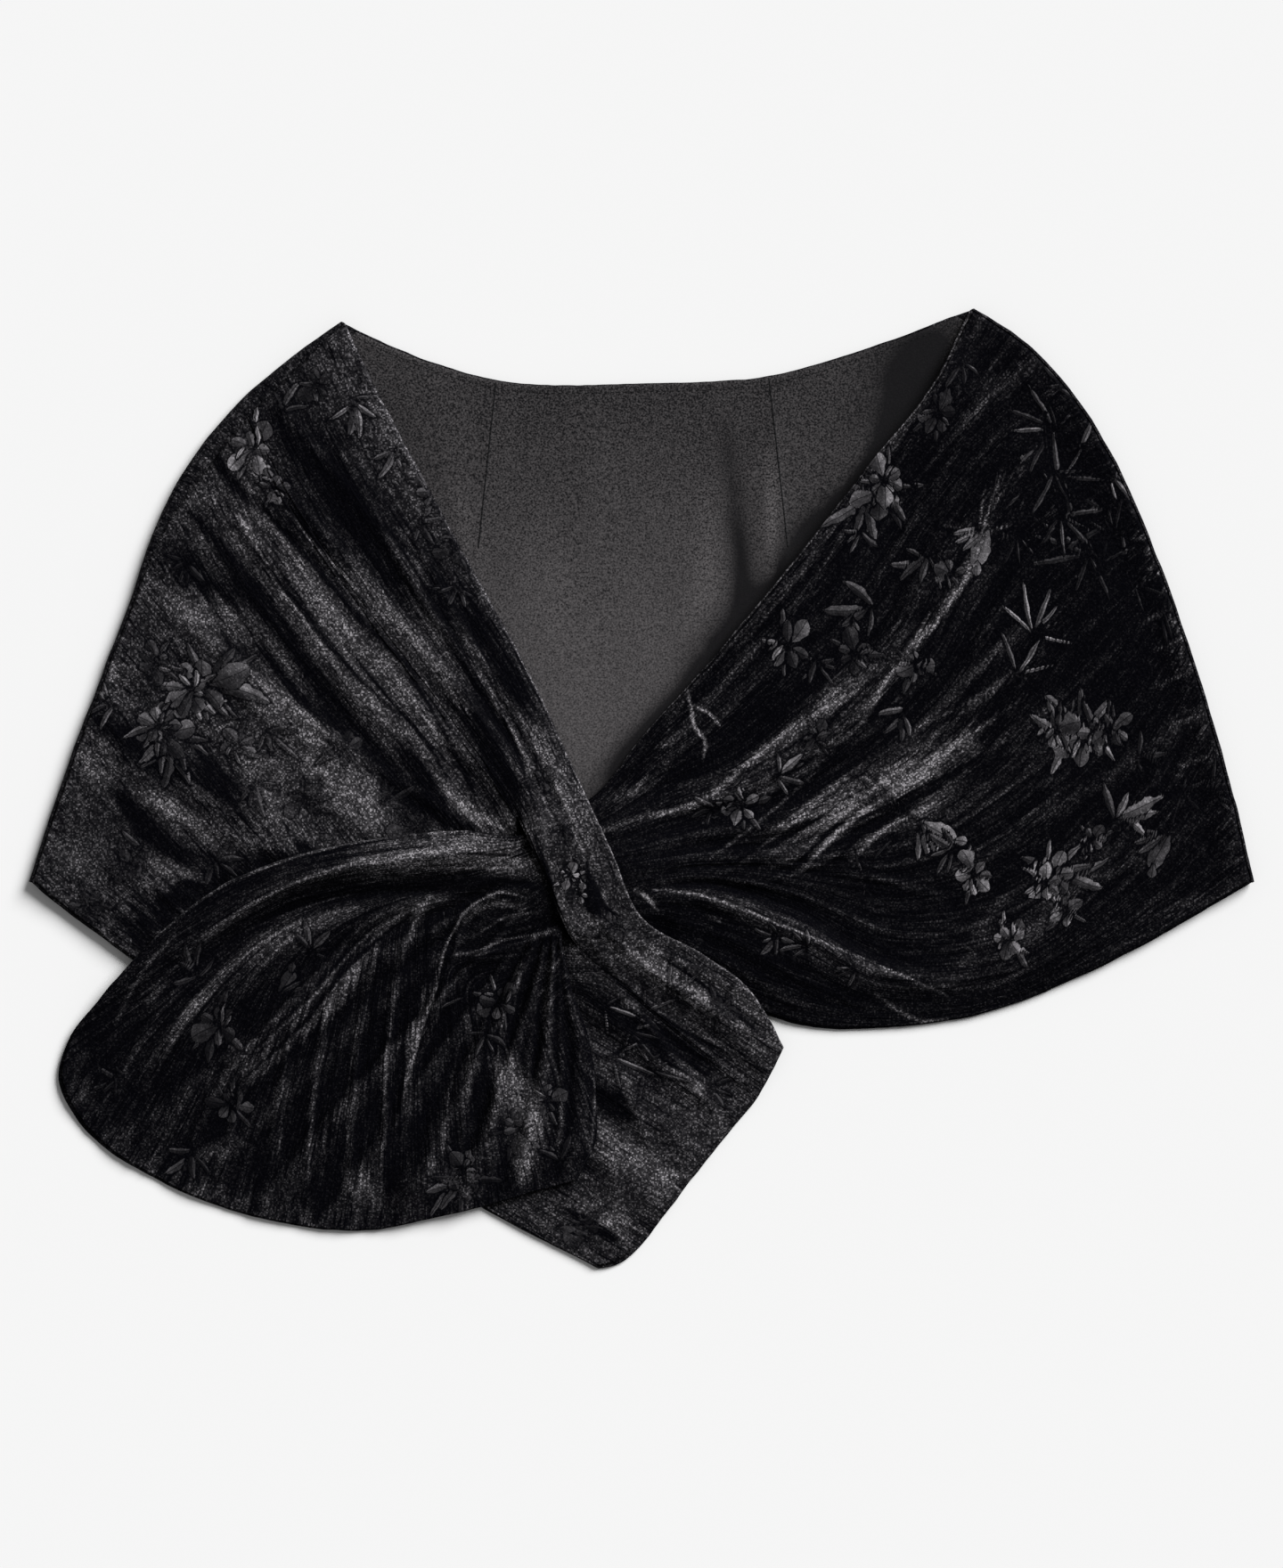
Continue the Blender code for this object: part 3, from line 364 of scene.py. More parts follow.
FAN_PILE_AND_PAINTED_LIGHT = (
    (0.4, 1, 1.2, -50, -18, -90, -21, -132, -25, -176, -35, -218, -53, -246, -75),
    (0.5, 12, 8, -50, -38, -84, -32, -106, -33, -138, -40),
    (0.3, 3, 3.5, -62, -28, -84, -24, -104, -24, -124, -27, -146, -33),
    (0.3, 1, 1, -58, -40, -88, -40, -116, -40), (-0.4, 1, 1.2, -56, -34, -90, -33, -124, -36),
    (0.26, 1, 1.2, -120, -30, -160, -42, -196, -58, -226, -78),
    (0.1, 4, 5, -140, -38, -170, -48, -206, -66), (0.25, 1, 1.2, -130, -49, -170, -60, -200, -72),
    (-0.5, 1.6, 2.4, -50, -51, -71, -47, -93, -49, -122, -50, -150, -52, -184, -61),
    (0.55, 0.8, 1.1, -58, -55, -71, -52, -81, -56, -89, -62, -93, -69, -98, -79, -101, -90),
    (0.36, 2.9, 2.9, -60, -60, -74, -58, -84, -62, -89, -68),
    (0.5, 0.7, 0.8, -43, -72, -62, -75, -71, -77, -84, -82, -94, -84),
    (-0.5, 2.9, 0.8, -45, -75, -62, -79, -72, -82, -94, -88),
    (-0.35, 2.9, 1.5, -95, -75, -99, -88, -103, -106), (0.3, 1, 1, -50, -62, -66, -64, -86, -75),
    (-0.3, 1, 1, -50, -66, -66, -70, -88, -78), (0.3, 2.9, 2.9, -106, -54, -112, -64, -117, -76),
    (0.6, 0.6, 2.6, -100, -86, -103, -100, -109, -117, -115, -137, -120, -156),
    (0.28, 1, 6, -105, -98, -112, -120, -118, -142),
    (0.32, 5, 6, -104, -56, -128, -70, -156, -106, -186, -134, -212, -152),
    (0.3, 1, 1.4, -110, -58, -138, -74, -166, -106, -196, -134),
    (0.3, 4, 5, -140, -60, -170, -70, -194, -84),
    (-0.4, 1.2, 2, -116, -64, -144, -86, -172, -120, -200, -146),
    (0.25, 1, 1.2, -144, -60, -174, -68, -202, -86, -224, -112),
    (-0.35, 1.2, 1.6, -132, -60, -160, -76, -186, -104, -216, -134),
    (0.24, 2, 3, -170, -62, -196, -78, -222, -104, -240, -132),
    (0.2, 1, 1.4, -124, -100, -129, -140, -131, -180), (0.16, 1, 1.4, -142, -112, -148, -150, -148, -190),
    (0.16, 1, 1.4, -160, -128, -166, -160, -168, -196), (0.18, 1, 1.4, -176, -140, -182, -170, -184, -194),
    (0.16, 3, 3, -204, -64, -232, -86, -252, -110), (0.22, 1.2, 1.6, -236, -74, -254, -96, -266, -120),
    (0.36, 9, 9, -146, -196, -134, -206), (0.42, 8, 8, -102, -192, -86, -202),
    (0.6, 12, 12, -68, -140, -58, -164, -62, -190), (0.26, 3, 3, -90, -112, -86, -130, -90, -144),
    (0.35, 1, 1.4, -46, -132, -41, -154, -42, -186), (0.35, 0.9, 1.4, -24, -132, -23, -156, -26, -184),
    (0.2, 1, 1.4, -92, -130, -98, -160, -100, -190), (0.2, 3, 3, -44, -84, -48, -106, -50, -120),
    (0.2, 1, 1.4, -60, -88, -66, -120),
    (0.12, 7, 7, -286, -140, -266, -178, -226, -206, -170, -216, -110, -212),
    (0.18, 7, 7, -214, -118, -206, -126), (0.2, 6, 6, -226, -182, -208, -186),
    (-0.2, 8, 7, -276, -120, -276, -150), (-0.3, 3, 3, -105, -60, -110, -90, -116, -120),
    (-0.3, 3, 3, -124, -150, -126, -170, -126, -190), (-0.24, 6, 6, -80, -90, -88, -110),
    (-0.2, 2, 2, -132, -84, -136, -130, -138, -170), (-0.2, 2, 2, -153, -104, -156, -150, -158, -180),
    (-0.35, 1, 1.5, -116, -90, -120, -130, -122, -176), (-0.4, 1, 1.5, -70, -92, -77, -120, -80, -150),
    (0.25, 1, 1, -62, -88, -70, -118, -74, -150),
)  # fmt: skip

# Where the cloth is mottled, not streaked: how much less, widths to the left and right, and points
CALM_PLACES = (
    (-0.9, 30, 26, -212, 60, -190, 30, -166, 0, -140, -14), (-0.8, 30, 30, -296, -40, -270, -20, -240, -40),
    (-0.9, 14, 12, -140, 220, -124, 176, -106, 136, -88, 106),
    (-1.0, 18, 16, -52, 10, -34, -34, -14, -74, 14, -104), (-0.8, 24, 24, -24, -214, 10, -190, 36, -160),
    (-0.7, 12, 12, -60, -140, -60, -176), (-0.8, 16, 20, -248, 40, -222, 52),
    (-0.8, 16, 16, -236, 96, -220, 86), (-0.6, 30, 30, -150, 80, -120, 40),
    (-0.7, 14, 14, 122, 170, 112, 136), (-0.7, 26, 26, 206, 176, 236, 150),
    (-0.6, 20, 20, 216, 20, 250, 10), (-0.6, 16, 16, 236, -20, 200, -60), (-0.7, 16, 16, 84, 76, 116, 70),
    (-0.7, 14, 14, -206, -160, -220, -186), (-0.6, 9, 9, -230, -120, -208, -124),
    (-0.7, 12, 12, -150, -206, -96, -204),
)  # fmt: skip

# Shading of the lining, as a share of its lightness: the soft shadow beside the pulled front, one soft
# valley, and the darts' fullness
LINING_SHADE = (
    (-1.3, 8, 35, 156, 232, 141, 205, 134, 192), (-1.3, 8, 20, 146, 212, 136, 196, 130, 186),
    (-1.3, 8, 9, 131, 187, 117, 165, 105, 150, 96, 138), (-1.5, 8, 16, 98, 140, 90, 128, 80, 112),
    (-1.6, 8, 20, 88, 122, 73, 100, 52, 80, 36, 62), (-1.5, 8, 13, 40, 67, 17, 40, 0, 22, -12, 9, -22, -3),
    (-0.5, 7, 7, 42, 184, 44, 168, 46, 150), (-0.95, 9, 9, 47, 150, 48, 135, 50, 118, 51, 98, 54, 84),
    (0.9, 4, 6, 64, 170, 66, 150, 66, 130, 66, 110), (0.4, 9, 10, 34, 148, 33, 120, 32, 98, 26, 84),
    (0.4, 10, 6, -96, 158, -90, 138, -86, 114), (-0.25, 8, 8, -128, 200, -112, 168, -100, 150),
    (0.22, 24, 24, -50, 130, -30, 60), (0.14, 14, 14, -4, 112, 4, 70),
)  # fmt: skip

# The pressed pattern: kind, x, y, size, the way it points in degrees, and how light it is
PATTERN = (
    ("blossom", -196, 172, 34, 240, 1.0), ("spray", -182, 190, 22, 60, 0.6),
    ("blossom", -186, 152, 22, 300, 0.85), ("spray", -146, 198, 32, 290, 1.15),
    ("blossom", -138, 216, 20, 80, 0.45), ("spray", -124, 172, 26, 250, 0.85),
    ("peony", -222, 52, 44, 200, 0.8), ("peony", -240, 28, 38, 140, 0.75),
    ("spray", -266, 42, 30, 170, 0.7), ("blossom", -204, 22, 26, 320, 0.6),
    ("spray", -196, 4, 26, 300, 0.5), ("blossom", -170, -6, 24, 40, 0.3),
    ("blossom", -118, -20, 22, 10, 0.35), ("spray", -252, -30, 26, 220, 0.35),
    ("blossom", -262, -40, 20, 80, 0.25), ("blossom", -94, 122, 22, 200, 0.3),
    ("blossom", -50, 4, 18, 60, 0.4), ("spray", -40, -18, 14, 290, 0.45),
    ("blossom", -14, -70, 18, 300, 0.4), ("blossom", -36, -43, 16, 240, 1.5),
    ("blossom", -31, -53, 12, 60, 1.5), ("blossom", -106, 150, 26, 130, 0.6),
    ("spray", -92, 104, 26, 250, 0.45), ("spray", -112, 136, 22, 300, 0.45),
    ("blossom", -164, 204, 24, 20, 0.35), ("spray", -228, 116, 24, 240, 0.3),
    ("blossom", -150, 20, 26, 200, 0.28), ("spray", -132, -8, 26, 30, 0.3),
    ("blossom", -280, -60, 24, 40, 0.25), ("spray", -216, -36, 26, 330, 0.3),
    ("blossom", -246, 64, 26, 100, 0.5), ("spray", -190, 30, 28, 320, 0.5),
    ("peony", 120, 150, 38, 70, 0.75), ("spray", 112, 132, 24, 250, 0.8),
    ("spray", 146, 118, 32, 220, 0.75), ("blossom", 156, 108, 20, 320, 0.6),
    ("spray", 118, 92, 32, 190, 0.6), ("blossom", 74, 72, 32, 230, 0.85), ("spray", 88, 66, 26, 300, 0.6),
    ("blossom", 108, 68, 26, 90, 0.45), ("blossom", 138, 62, 26, 20, 0.7), ("spray", 134, 40, 24, 230, 0.7),
    ("blossom", 50, -8, 26, 30, 0.8), ("spray", 66, 6, 26, 20, 0.8), ("spray", 38, -10, 20, 200, 0.6),
    ("blossom", 88, 26, 20, 60, 0.45), ("bamboo", 208, 182, 48, 200, 0.85),
    ("bamboo", 236, 160, 46, 350, 0.9), ("bamboo", 226, 118, 46, 215, 0.6),
    ("bamboo", 198, 78, 44, 60, 1.05), ("bamboo", 262, 92, 34, 340, 0.4),
    ("bamboo", 194, 150, 34, 190, 0.6), ("bamboo", 222, 190, 30, 40, 0.55),
    ("bamboo", 190, 128, 30, 240, 0.5), ("bamboo", 212, 138, 44, 300, 0.7),
    ("bamboo", 238, 128, 30, 80, 0.4), ("spray", 214, 204, 24, 120, 0.35), ("bird", 176, 134, 56, 70, 0.8),
    ("bird", 138, -15, 60, 150, 0.95), ("bird", 268, -20, 56, 62, 0.55), ("twig", 60, 12, 24, 200, 0.6),
    ("twig", 112, -58, 34, 80, 0.5), ("blossom", 150, 190, 26, 60, 0.4), ("spray", 162, 216, 20, 250, 0.5),
    ("peony", 224, 26, 40, 20, 1.0), ("blossom", 210, 30, 26, 190, 0.9), ("blossom", 238, 30, 24, 40, 0.6),
    ("spray", 250, 16, 26, 10, 0.5), ("spray", 238, -16, 34, 40, 1.0), ("blossom", 228, -26, 20, 60, 0.8),
    ("peony", 208, -44, 32, 230, 1.1), ("blossom", 214, -62, 22, 20, 1.0),
    ("blossom", 186, -76, 26, 250, 1.15), ("blossom", 168, -44, 28, 120, 1.0),
    ("spray", 160, -30, 26, 200, 0.5), ("bamboo", 288, -2, 30, 20, 0.5), ("spray", 84, -80, 22, 160, 0.6),
    ("spray", 108, -92, 20, 170, 0.55), ("spray", 70, -74, 20, 200, 0.6),
    ("blossom", -214, -120, 30, 210, 0.55), ("spray", -224, -96, 26, 120, 0.4),
    ("spray", -168, -84, 24, 60, 0.45), ("bird", -184, -106, 40, 240, 0.4),
    ("blossom", -208, -160, 26, 160, 0.45), ("spray", -226, -182, 28, 250, 0.6),
    ("blossom", -72, -108, 24, 30, 0.65), ("spray", -78, -122, 24, 260, 0.5),
    ("twig", -112, -128, 30, 60, 0.55), ("blossom", -62, -172, 28, 80, 0.5),
    ("blossom", -48, -158, 24, 20, 0.5), ("peony", -90, -198, 28, 90, 0.55),
    ("spray", -42, -190, 22, 80, 0.4), ("bamboo", -6, -122, 36, 330, 0.75),
    ("bamboo", 2, -142, 36, 340, 0.8), ("bamboo", 14, -104, 32, 20, 0.55),
    ("blossom", 40, -112, 24, 160, 0.35), ("spray", 34, -150, 24, 310, 0.3),
    ("blossom", -30, -222, 24, 40, 0.3), ("spray", -262, -146, 24, 200, 0.35),
)  # fmt: skip


def through(knots, values, at):
    """Rows of a smooth curve that passes through the rows of values at the knots, read at the places at."""
    knots, values, at = (np.asarray(a, float) for a in (knots, values, at))
    step = np.diff(knots)[:, None]
    slope = np.diff(values, axis=0) / step
    inner = (slope[:-1] * step[1:] + slope[1:] * step[:-1]) / (step[:-1] + step[1:])
    bend = np.concatenate((slope[:1], inner, slope[-1:]))
    k = np.clip(np.searchsorted(knots, at, side="right") - 1, 0, len(step) - 1)
    t = ((at - knots[k]) / step[k, 0])[:, None]
    start = (1 + 2 * t) * (1 - t) ** 2 * values[k] + t * (1 - t) ** 2 * step[k] * bend[k]
    end = t * t * (3 - 2 * t) * values[k + 1] + t * t * (t - 1) * step[k] * bend[k + 1]
    return start + end


def along(points, share):
    """Points at the given shares of the length of a smooth line through an outline's points."""
    points = np.asarray(points, float)
    chord = np.concatenate(([0.0], np.cumsum(np.hypot(*np.diff(points, axis=0).T))))
    dense = through(chord, points, np.linspace(0, chord[-1], 400))
    length = np.concatenate(([0.0], np.cumsum(np.hypot(*np.diff(dense, axis=0).T))))
    at = np.asarray(share) * length[-1]
    return np.column_stack([np.interp(at, length, dense[:, k]) for k in (0, 1)])


def ease(x):
    """0 below 0, 1 above 1, and a smooth step between."""
    x = np.clip(x, 0.0, 1.0)
    return x * x * (3 - 2 * x)


def neck_heading(side):
    """The way that the neckline runs from a side's upper end."""
    ends = (NECKLINE[1], NECKLINE[0]) if side is LEFT_SIDE else (NECKLINE[-2], NECKLINE[-1])
    heading = np.subtract(*ends).astype(float)
    return heading / np.linalg.norm(heading)


def inward(side, share):
    """Unit vectors from a side's outline into the garment; at the neck they follow the neckline."""
    ahead = along(side, np.clip(share + 0.01, 0, 1)) - along(side, np.clip(share - 0.01, 0, 1))
    normal = np.column_stack((-ahead[:, 1], ahead[:, 0]))
    normal /= np.linalg.norm(normal, axis=1)[:, None]
    heading = neck_heading(side)
    normal *= np.sign(normal @ heading)[:, None]
    turn = ease(share / 0.08)[:, None]
    mixed = heading * (1 - turn) + normal * turn
    return mixed / np.linalg.norm(mixed, axis=1)[:, None]


def seam_in(side, share):
    """How far in from a side's fold its seam lies."""
    table = np.array(LEFT_SEAM if side is LEFT_SIDE else RIGHT_SEAM)
    return np.interp(share, table[:, 0], table[:, 1])


def front_start(side, share):
    """A front's edge along its side seam, clear of the end of the back's wall there."""
    rest = seam_in(side, share)
    tilt = np.clip((SIDE_FOLD - rest) / SIDE_FOLD, 0, 1)
    inset = rest + BACK_WALL * tilt + 2 * GAP - SEAM_OVERLAP
    return along(side, share) + inward(side, share) * inset[:, None]


def joining_line(v, out):
    """Plan places under the strip at which the pulled front goes on as the fan."""
    down = JOIN_ENDS[0] + (JOIN_ENDS[1] - JOIN_ENDS[0]) * v
    return np.array([at_strip(place, out) for place in down])


def patch(sections, lines, u, v, start, end, reach=0.25):
    """Plan of a panel's grid: rows across it and columns along it, through the sections of its table."""
    table = np.array(sections, float)
    rails = through(table[:, 0], table[:, 1:], u).reshape(len(u), len(lines), 2)
    across = rails.transpose(1, 0, 2).reshape(len(lines), -1)
    plan = through(lines, across, v).reshape(len(v), len(u), 2)
    plan += (start - plan[:, 0])[:, None] * ((1 - ease(u / reach)) ** 2)[None, :, None]
    plan += (end - plan[:, -1])[:, None] * ((1 - ease((1 - u) / reach)) ** 2)[None, :, None]
    return plan


def back_plan(u, v):
    """Plan of the back between its side outlines, from the neckline to the hem."""
    v = np.concatenate(([0.0], v, [1.0]))
    left, right = along(LEFT_SIDE, v), along(RIGHT_SIDE, v)
    plan = left[:, None] * (1 - u)[None, :, None] + right[:, None] * u[None, :, None]
    neck, hem = along(NECKLINE, u), along(BACK_HEM, u)
    to_neck = (neck - plan[0])[None] * ((1 - v) ** 2)[:, None, None]
    to_hem = (hem - plan[-1])[None] * (v**2)[:, None, None]
    return (plan + to_neck + to_hem)[1:-1]


def slit_plan(u, v):
    return patch(SLIT_FRONT, SLIT_LINES, u, v, front_start(LEFT_SIDE, v), along(TAIL_END, v), reach=0.12)


def pulled_plan(u, v):
    return patch(PULLED_FRONT, PULLED_LINES, u, v, front_start(RIGHT_SIDE, v), joining_line(v, 0.0))


def fan_plan(u, v):
    start = joining_line(v, 1.5 * GAP)
    return patch(PULLED_END, FAN_LINES, u, v, start, along(FAN_HEM, v), reach=0.2)


def node_heights(node, plan):
    """Top and underside of a solid at the plan places of its own points."""
    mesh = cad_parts[node].data
    places = np.array([vert.co[:] for vert in mesh.vertices]) / MM
    tree = KDTree(len(places))
    for index, place in enumerate(places):
        tree.insert((place[0], place[1], 0), index)
    tree.balance()
    top, under = np.zeros(plan.shape[:2]), np.zeros(plan.shape[:2])
    for index in np.ndindex(top.shape):
        nearest = tree.find((*plan[index], 0))[0]
        near = [places[k][2] for _, k, _ in tree.find_range(nearest, 0.15)]
        top[index], under[index] = max(near), min(near)
    return top, under


def finer(heights, u, v, fine_u, fine_v):
    """A panel's heights at a finer grid of places, on a smooth surface through the coarse ones."""
    lengthwise = through(u, heights.T, fine_u)
    return through(v, lengthwise.T, fine_v)


def graded(start, stop, steps, near_start=0.0, near_stop=0.0):
    """Even shares from start to stop, with two more close to an end that is a turned edge.

    near_start and near_stop are the share that one millimetre takes there, 0 where there is no edge.
    """
    places = list(np.linspace(start, stop, steps + 1))
    if near_start:
        places[1:1] = [start + near_start * step for step in EDGE_STEPS]
    if near_stop:
        places[-1:-1] = [stop - near_stop * step for step in reversed(EDGE_STEPS)]
    return np.array(places)


def edge_weight(count, at_start=True, at_end=True):
    """How far each row of a grid is lowered: wholly at an edge, less on the next two rows."""
    weight = np.zeros(count)
    if at_start:
        weight[: len(EDGE_SHAPE)] = EDGE_SHAPE
    if at_end:
        weight[-len(EDGE_SHAPE) :] = EDGE_SHAPE[::-1]
    return weight


def value_noise(x, y, seed):
    """Smooth noise from 0 to 1, one value for each unit square and eased between."""
    column, row = np.floor(x), np.floor(y)
    across, up = ease(x - column), ease(y - row)

    def corner(i, j):
        # a large number's fraction, as even as a random one
        spread = np.sin((column + i) * 127.1 + (row + j) * 311.7 + seed * 74.7) * 43758.5453
        return spread - np.floor(spread)

    low = corner(0, 0) * (1 - across) + corner(1, 0) * across
    high = corner(0, 1) * (1 - across) + corner(1, 1) * across
    return low * (1 - up) + high * up


def crushed(length, width, seed):
    """Height of the small creases of crushed velvet: they run lengthwise, uneven and in patches."""
    bent = width + 5 * value_noise(length / 70, width / 40, seed)
    bent += 1.6 * value_noise(length / 22, width / 9, seed + 1)
    wide = 1 - np.abs(2 * value_noise(length / 75, bent / 8.5, seed + 2) - 1)
    fine = 1 - np.abs(2 * value_noise(length / 34, bent / 3.6, seed + 3) - 1)
    patchy = 0.35 + 0.65 * value_noise(length / 60, width / 32, seed + 4)
    return patchy * (0.85 * wide**2 + 0.3 * fine**2)


def strokes(table, plan, loose=None):
    """What a table's soft-edged strokes add up to at each place, the wide ones read at loose places."""
    total = np.zeros(plan.shape[:2])
    for height, left_width, right_width, *places in table:
        points = np.array(places, float).reshape(-1, 2)
        line = along(points, np.linspace(0, 1, STROKE_STEPS * len(points)))
        widest = max(left_width, right_width)
        at = plan if loose is None or widest < WIDE_STROKE else loose
        reach = STROKE_REACH * widest
        near = np.all((at > line.min(axis=0) - reach) & (at < line.max(axis=0) + reach), axis=2)
        spots = at[near]
        best, signed, share = np.full(len(spots), 1e9), np.zeros(len(spots)), np.zeros(len(spots))
        for k, (start, step) in enumerate(zip(line[:-1], np.diff(line, axis=0))):
            t = np.clip(((spots - start) @ step) / (step @ step), 0, 1)
            away = spots - start - t[:, None] * step
            far = np.hypot(*away.T)
            closer = far < best
            side = step[0] * away[:, 1] - step[1] * away[:, 0]
            best = np.where(closer, far, best)
            signed = np.where(closer, np.where(side > 0, far, -far), signed)
            share = np.where(closer, (k + t) / (len(line) - 1), share)
        width = np.where(signed > 0, left_width, right_width)
        fade = np.sin(math.pi * np.clip(share, STROKE_TIP, 1 - STROKE_TIP)) ** 0.4
        total[near] += height * fade * np.exp(-STROKE_FALL * (signed / width) ** 2)
    return total


def feathered(plan, flow):
    """Plan places shifted to and fro along the pile, which gives what is drawn there streaky ends."""
    length, width = flow
    across_v, across_u = (part[..., None] for part in np.gradient(width))
    ahead = np.gradient(plan, axis=1) * across_v - np.gradient(plan, axis=0) * across_u
    ahead /= np.linalg.norm(ahead, axis=2)[..., None] + 1e-9
    far = 16 * (value_noise(length / 60, width / 2.6, 81) - 0.5)
    near = 9 * (value_noise(length / 22, width / 1.6, 83) - 0.5)
    return plan + ahead * (far + near)[..., None]


def blurred(field, rounds):
    """A grid of values with each one mixed with its neighbours a number of times."""
    for _ in range(rounds):
        wider = np.pad(field, 1, mode="edge")
        field = (wider[:-2, 1:-1] + wider[2:, 1:-1] + wider[1:-1, :-2] + wider[1:-1, 2:] + 2 * field) / 6
    return field


def surface(mesh, unit=1.0):
    """A mesh's faces as something that rays can be cast at, with its places measured in the unit."""
    points = [vert.co / unit for vert in mesh.vertices]
    return BVHTree.FromPolygons(points, [face.vertices[:] for face in mesh.polygons])


def ceiling(nodes, plan):
    """Underside of the solids that lie above each plan place, and a large height where there is none."""
    lowest = np.full(plan.shape[:2], 1000.0)
    for node in nodes:
        tree = surface(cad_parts[node].data, MM)
        for index in np.ndindex(lowest.shape):
            hit = tree.ray_cast(Vector((*plan[index], -50)), Vector((0, 0, 1)))[0]
            if hit is not None:
                lowest[index] = min(lowest[index], hit.z)
    return lowest


def below(top, under, plan, nodes):
    """Keeps a panel's top under the panels that lie on it."""
    limit = ceiling(nodes, plan) - 0.5 * GAP
    return np.maximum(np.minimum(top, limit), under + LEAST_WALL)


def beside(x, y, heading, distance):
    """The place at a distance from x and y, on a heading in degrees."""
    angle = math.radians(heading)
    return x + distance * math.cos(angle), y + distance * math.sin(angle)


def leaf(place, heading, length, half_width, pointed, tone, bow=0.0):
    """One petal or leaf shape; pointed is 0 for a stem, about 0.5 for a petal and 1 for a blade.

    bow is how far it curves to the left of its heading, as a share of its length.
    """
    return [(*place, math.radians(heading), length, half_width, pointed, tone, bow)]


def drawn(draw, *ranges):
    """One random number from each range, in the order given."""
    return [draw.uniform(low, high) for low, high in ranges]


def blossom(x, y, size, turn, tone, draw):
    """Broad petals and narrow leaves seen at a slant, no two alike, with curled petals at the middle."""
    shapes = []
    for _ in range(4):
        length = size * draw.uniform(0.5, 0.72)
        heading = turn + draw.uniform(-180, 180)
        wide, light, bow = drawn(draw, (0.07, 0.12), (0.4, 1.1), (-0.3, 0.3))
        shapes += leaf((x, y), heading, length, length * wide, 0.95, tone * light, bow)
    for k in draw.permutation(6):
        heading = turn + 60 * k + draw.uniform(-20, 20)
        slant = 1 - 0.4 * abs(math.sin(math.radians(heading - turn)))
        length = size * draw.uniform(0.36, 0.54) * slant
        place = beside(x, y, heading, size * draw.uniform(0.0, 0.07))
        wide, light, pointed, bow = drawn(draw, (0.24, 0.42), (0.4, 1.2), (0.5, 0.85), (-0.25, 0.25))
        shapes += leaf(place, heading, length, length * wide, pointed, tone * light, bow)
    for _ in range(2):
        length = size * draw.uniform(0.24, 0.36)
        heading = turn + draw.uniform(-180, 180)
        place = beside(x, y, heading, size * draw.uniform(0.04, 0.14))
        wide, light, bow = drawn(draw, (0.1, 0.15), (1.2, 1.9), (-0.6, 0.6))
        shapes += leaf(place, heading + 70, length, length * wide, 0.8, tone * light, bow)
    return shapes


def peony(x, y, size, turn, tone, draw):
    """A double flower: leaves behind, and two rings of petals that don't share a middle."""
    shapes = spray(x, y, size * 1.1, turn + 150, tone * 0.8, draw)
    shapes += blossom(x, y, size * 1.05, turn, tone * 0.8, draw)
    return shapes + blossom(*beside(x, y, turn, size * 0.16), size * 0.7, turn + 30, tone, draw)


def spray(x, y, size, turn, tone, draw):
    """Five narrow leaves that spread from a short stem."""
    shapes = leaf((x, y), turn - 4, size * 0.6, 0.5, 0, tone * 0.9, draw.uniform(-0.3, 0.3))
    for k, spread in enumerate((-72, -38, -4, 30, 66)):
        length = size * (0.72 - 0.1 * abs(k - 2)) * draw.uniform(0.7, 1.15)
        heading = turn + spread + draw.uniform(-12, 12)
        place = beside(x, y, turn, size * draw.uniform(0, 0.14))
        wide, light, bow = drawn(draw, (0.07, 0.13), (0.5, 1.3), (-0.35, 0.35))
        shapes += leaf(place, heading, length, length * wide, 0.95, tone * light, bow)
    return shapes


def bamboo(x, y, size, turn, tone, draw):
    """Narrow blades that spread from the joints of a thin stem."""
    back = turn + 180 + draw.uniform(-25, 25)
    shapes = leaf((x, y), back, size * 1.2, 0.4, 0, tone * 0.7, draw.uniform(-0.2, 0.2))
    for place, count in (((x, y), 6), (beside(x, y, back, size * 0.5), 3)):
        for k in range(count):
            length = size * draw.uniform(0.35, 0.72)
            heading = turn + 170 * (k + 0.5) / count - 85 + draw.uniform(-12, 12)
            light, bow = drawn(draw, (0.4, 1.3), (-0.12, 0.12))
            shapes += leaf(place, heading, length, length * 0.05, 1.0, tone * light, bow)
    return shapes


def twig(x, y, size, turn, tone, draw):
    """A bare forked twig, always of the same shape."""
    shapes = []
    for k, spread in enumerate((0, 28, -34)):
        shapes += leaf(beside(x, y, turn, size * 0.3 * k), turn + spread, size * 0.55, 0.7, 0.9, tone, 0.2)
    return shapes


def bird(x, y, size, turn, tone, draw):
    """A small long-tailed bird, such as traditional bird-and-flower patterns have."""
    shapes = []
    for spread in (-13, -5, 3, 11):
        length = size * draw.uniform(0.5, 0.68)
        shapes += leaf((x, y), turn + spread, length, 0.5, 0, tone * draw.uniform(0.8, 1.2), 0.06)
    shapes += leaf((x, y), turn + 180, size * 0.42, size * 0.085, 0.6, tone)
    for spread in (118, 134, 150):
        shapes += leaf(beside(x, y, turn + 180, 3), turn + spread, size * 0.34, size * 0.03, 0.8, tone)
    neck = beside(x, y, turn + 180, size * 0.36)
    return shapes + leaf(neck, turn + 200, size * 0.13, size * 0.05, 0.5, tone * 1.1)


def pattern_shapes():
    draw = np.random.default_rng(11)
    makers = {maker.__name__: maker for maker in (blossom, peony, spray, bamboo, twig, bird)}
    shapes = []
    for kind, x, y, size, turn, tone in PATTERN:
        shapes += makers[kind](x, y, size, turn, tone, draw)
    return shapes


def half_outline(part, half_width, pointed):
    """Half the width of a shape at shares of its length: a stem is even, petals and blades have a belly."""
    if not pointed:
        return half_width * np.minimum(1, 5 * (1 - part))
    near_base, near_tip = 1.9 - 1.1 * pointed, 0.3 + 0.6 * pointed
    both = near_base + near_tip
    most = near_base**near_base * near_tip**near_tip / both**both
    return half_width * part**near_base * (1 - part) ** near_tip / most


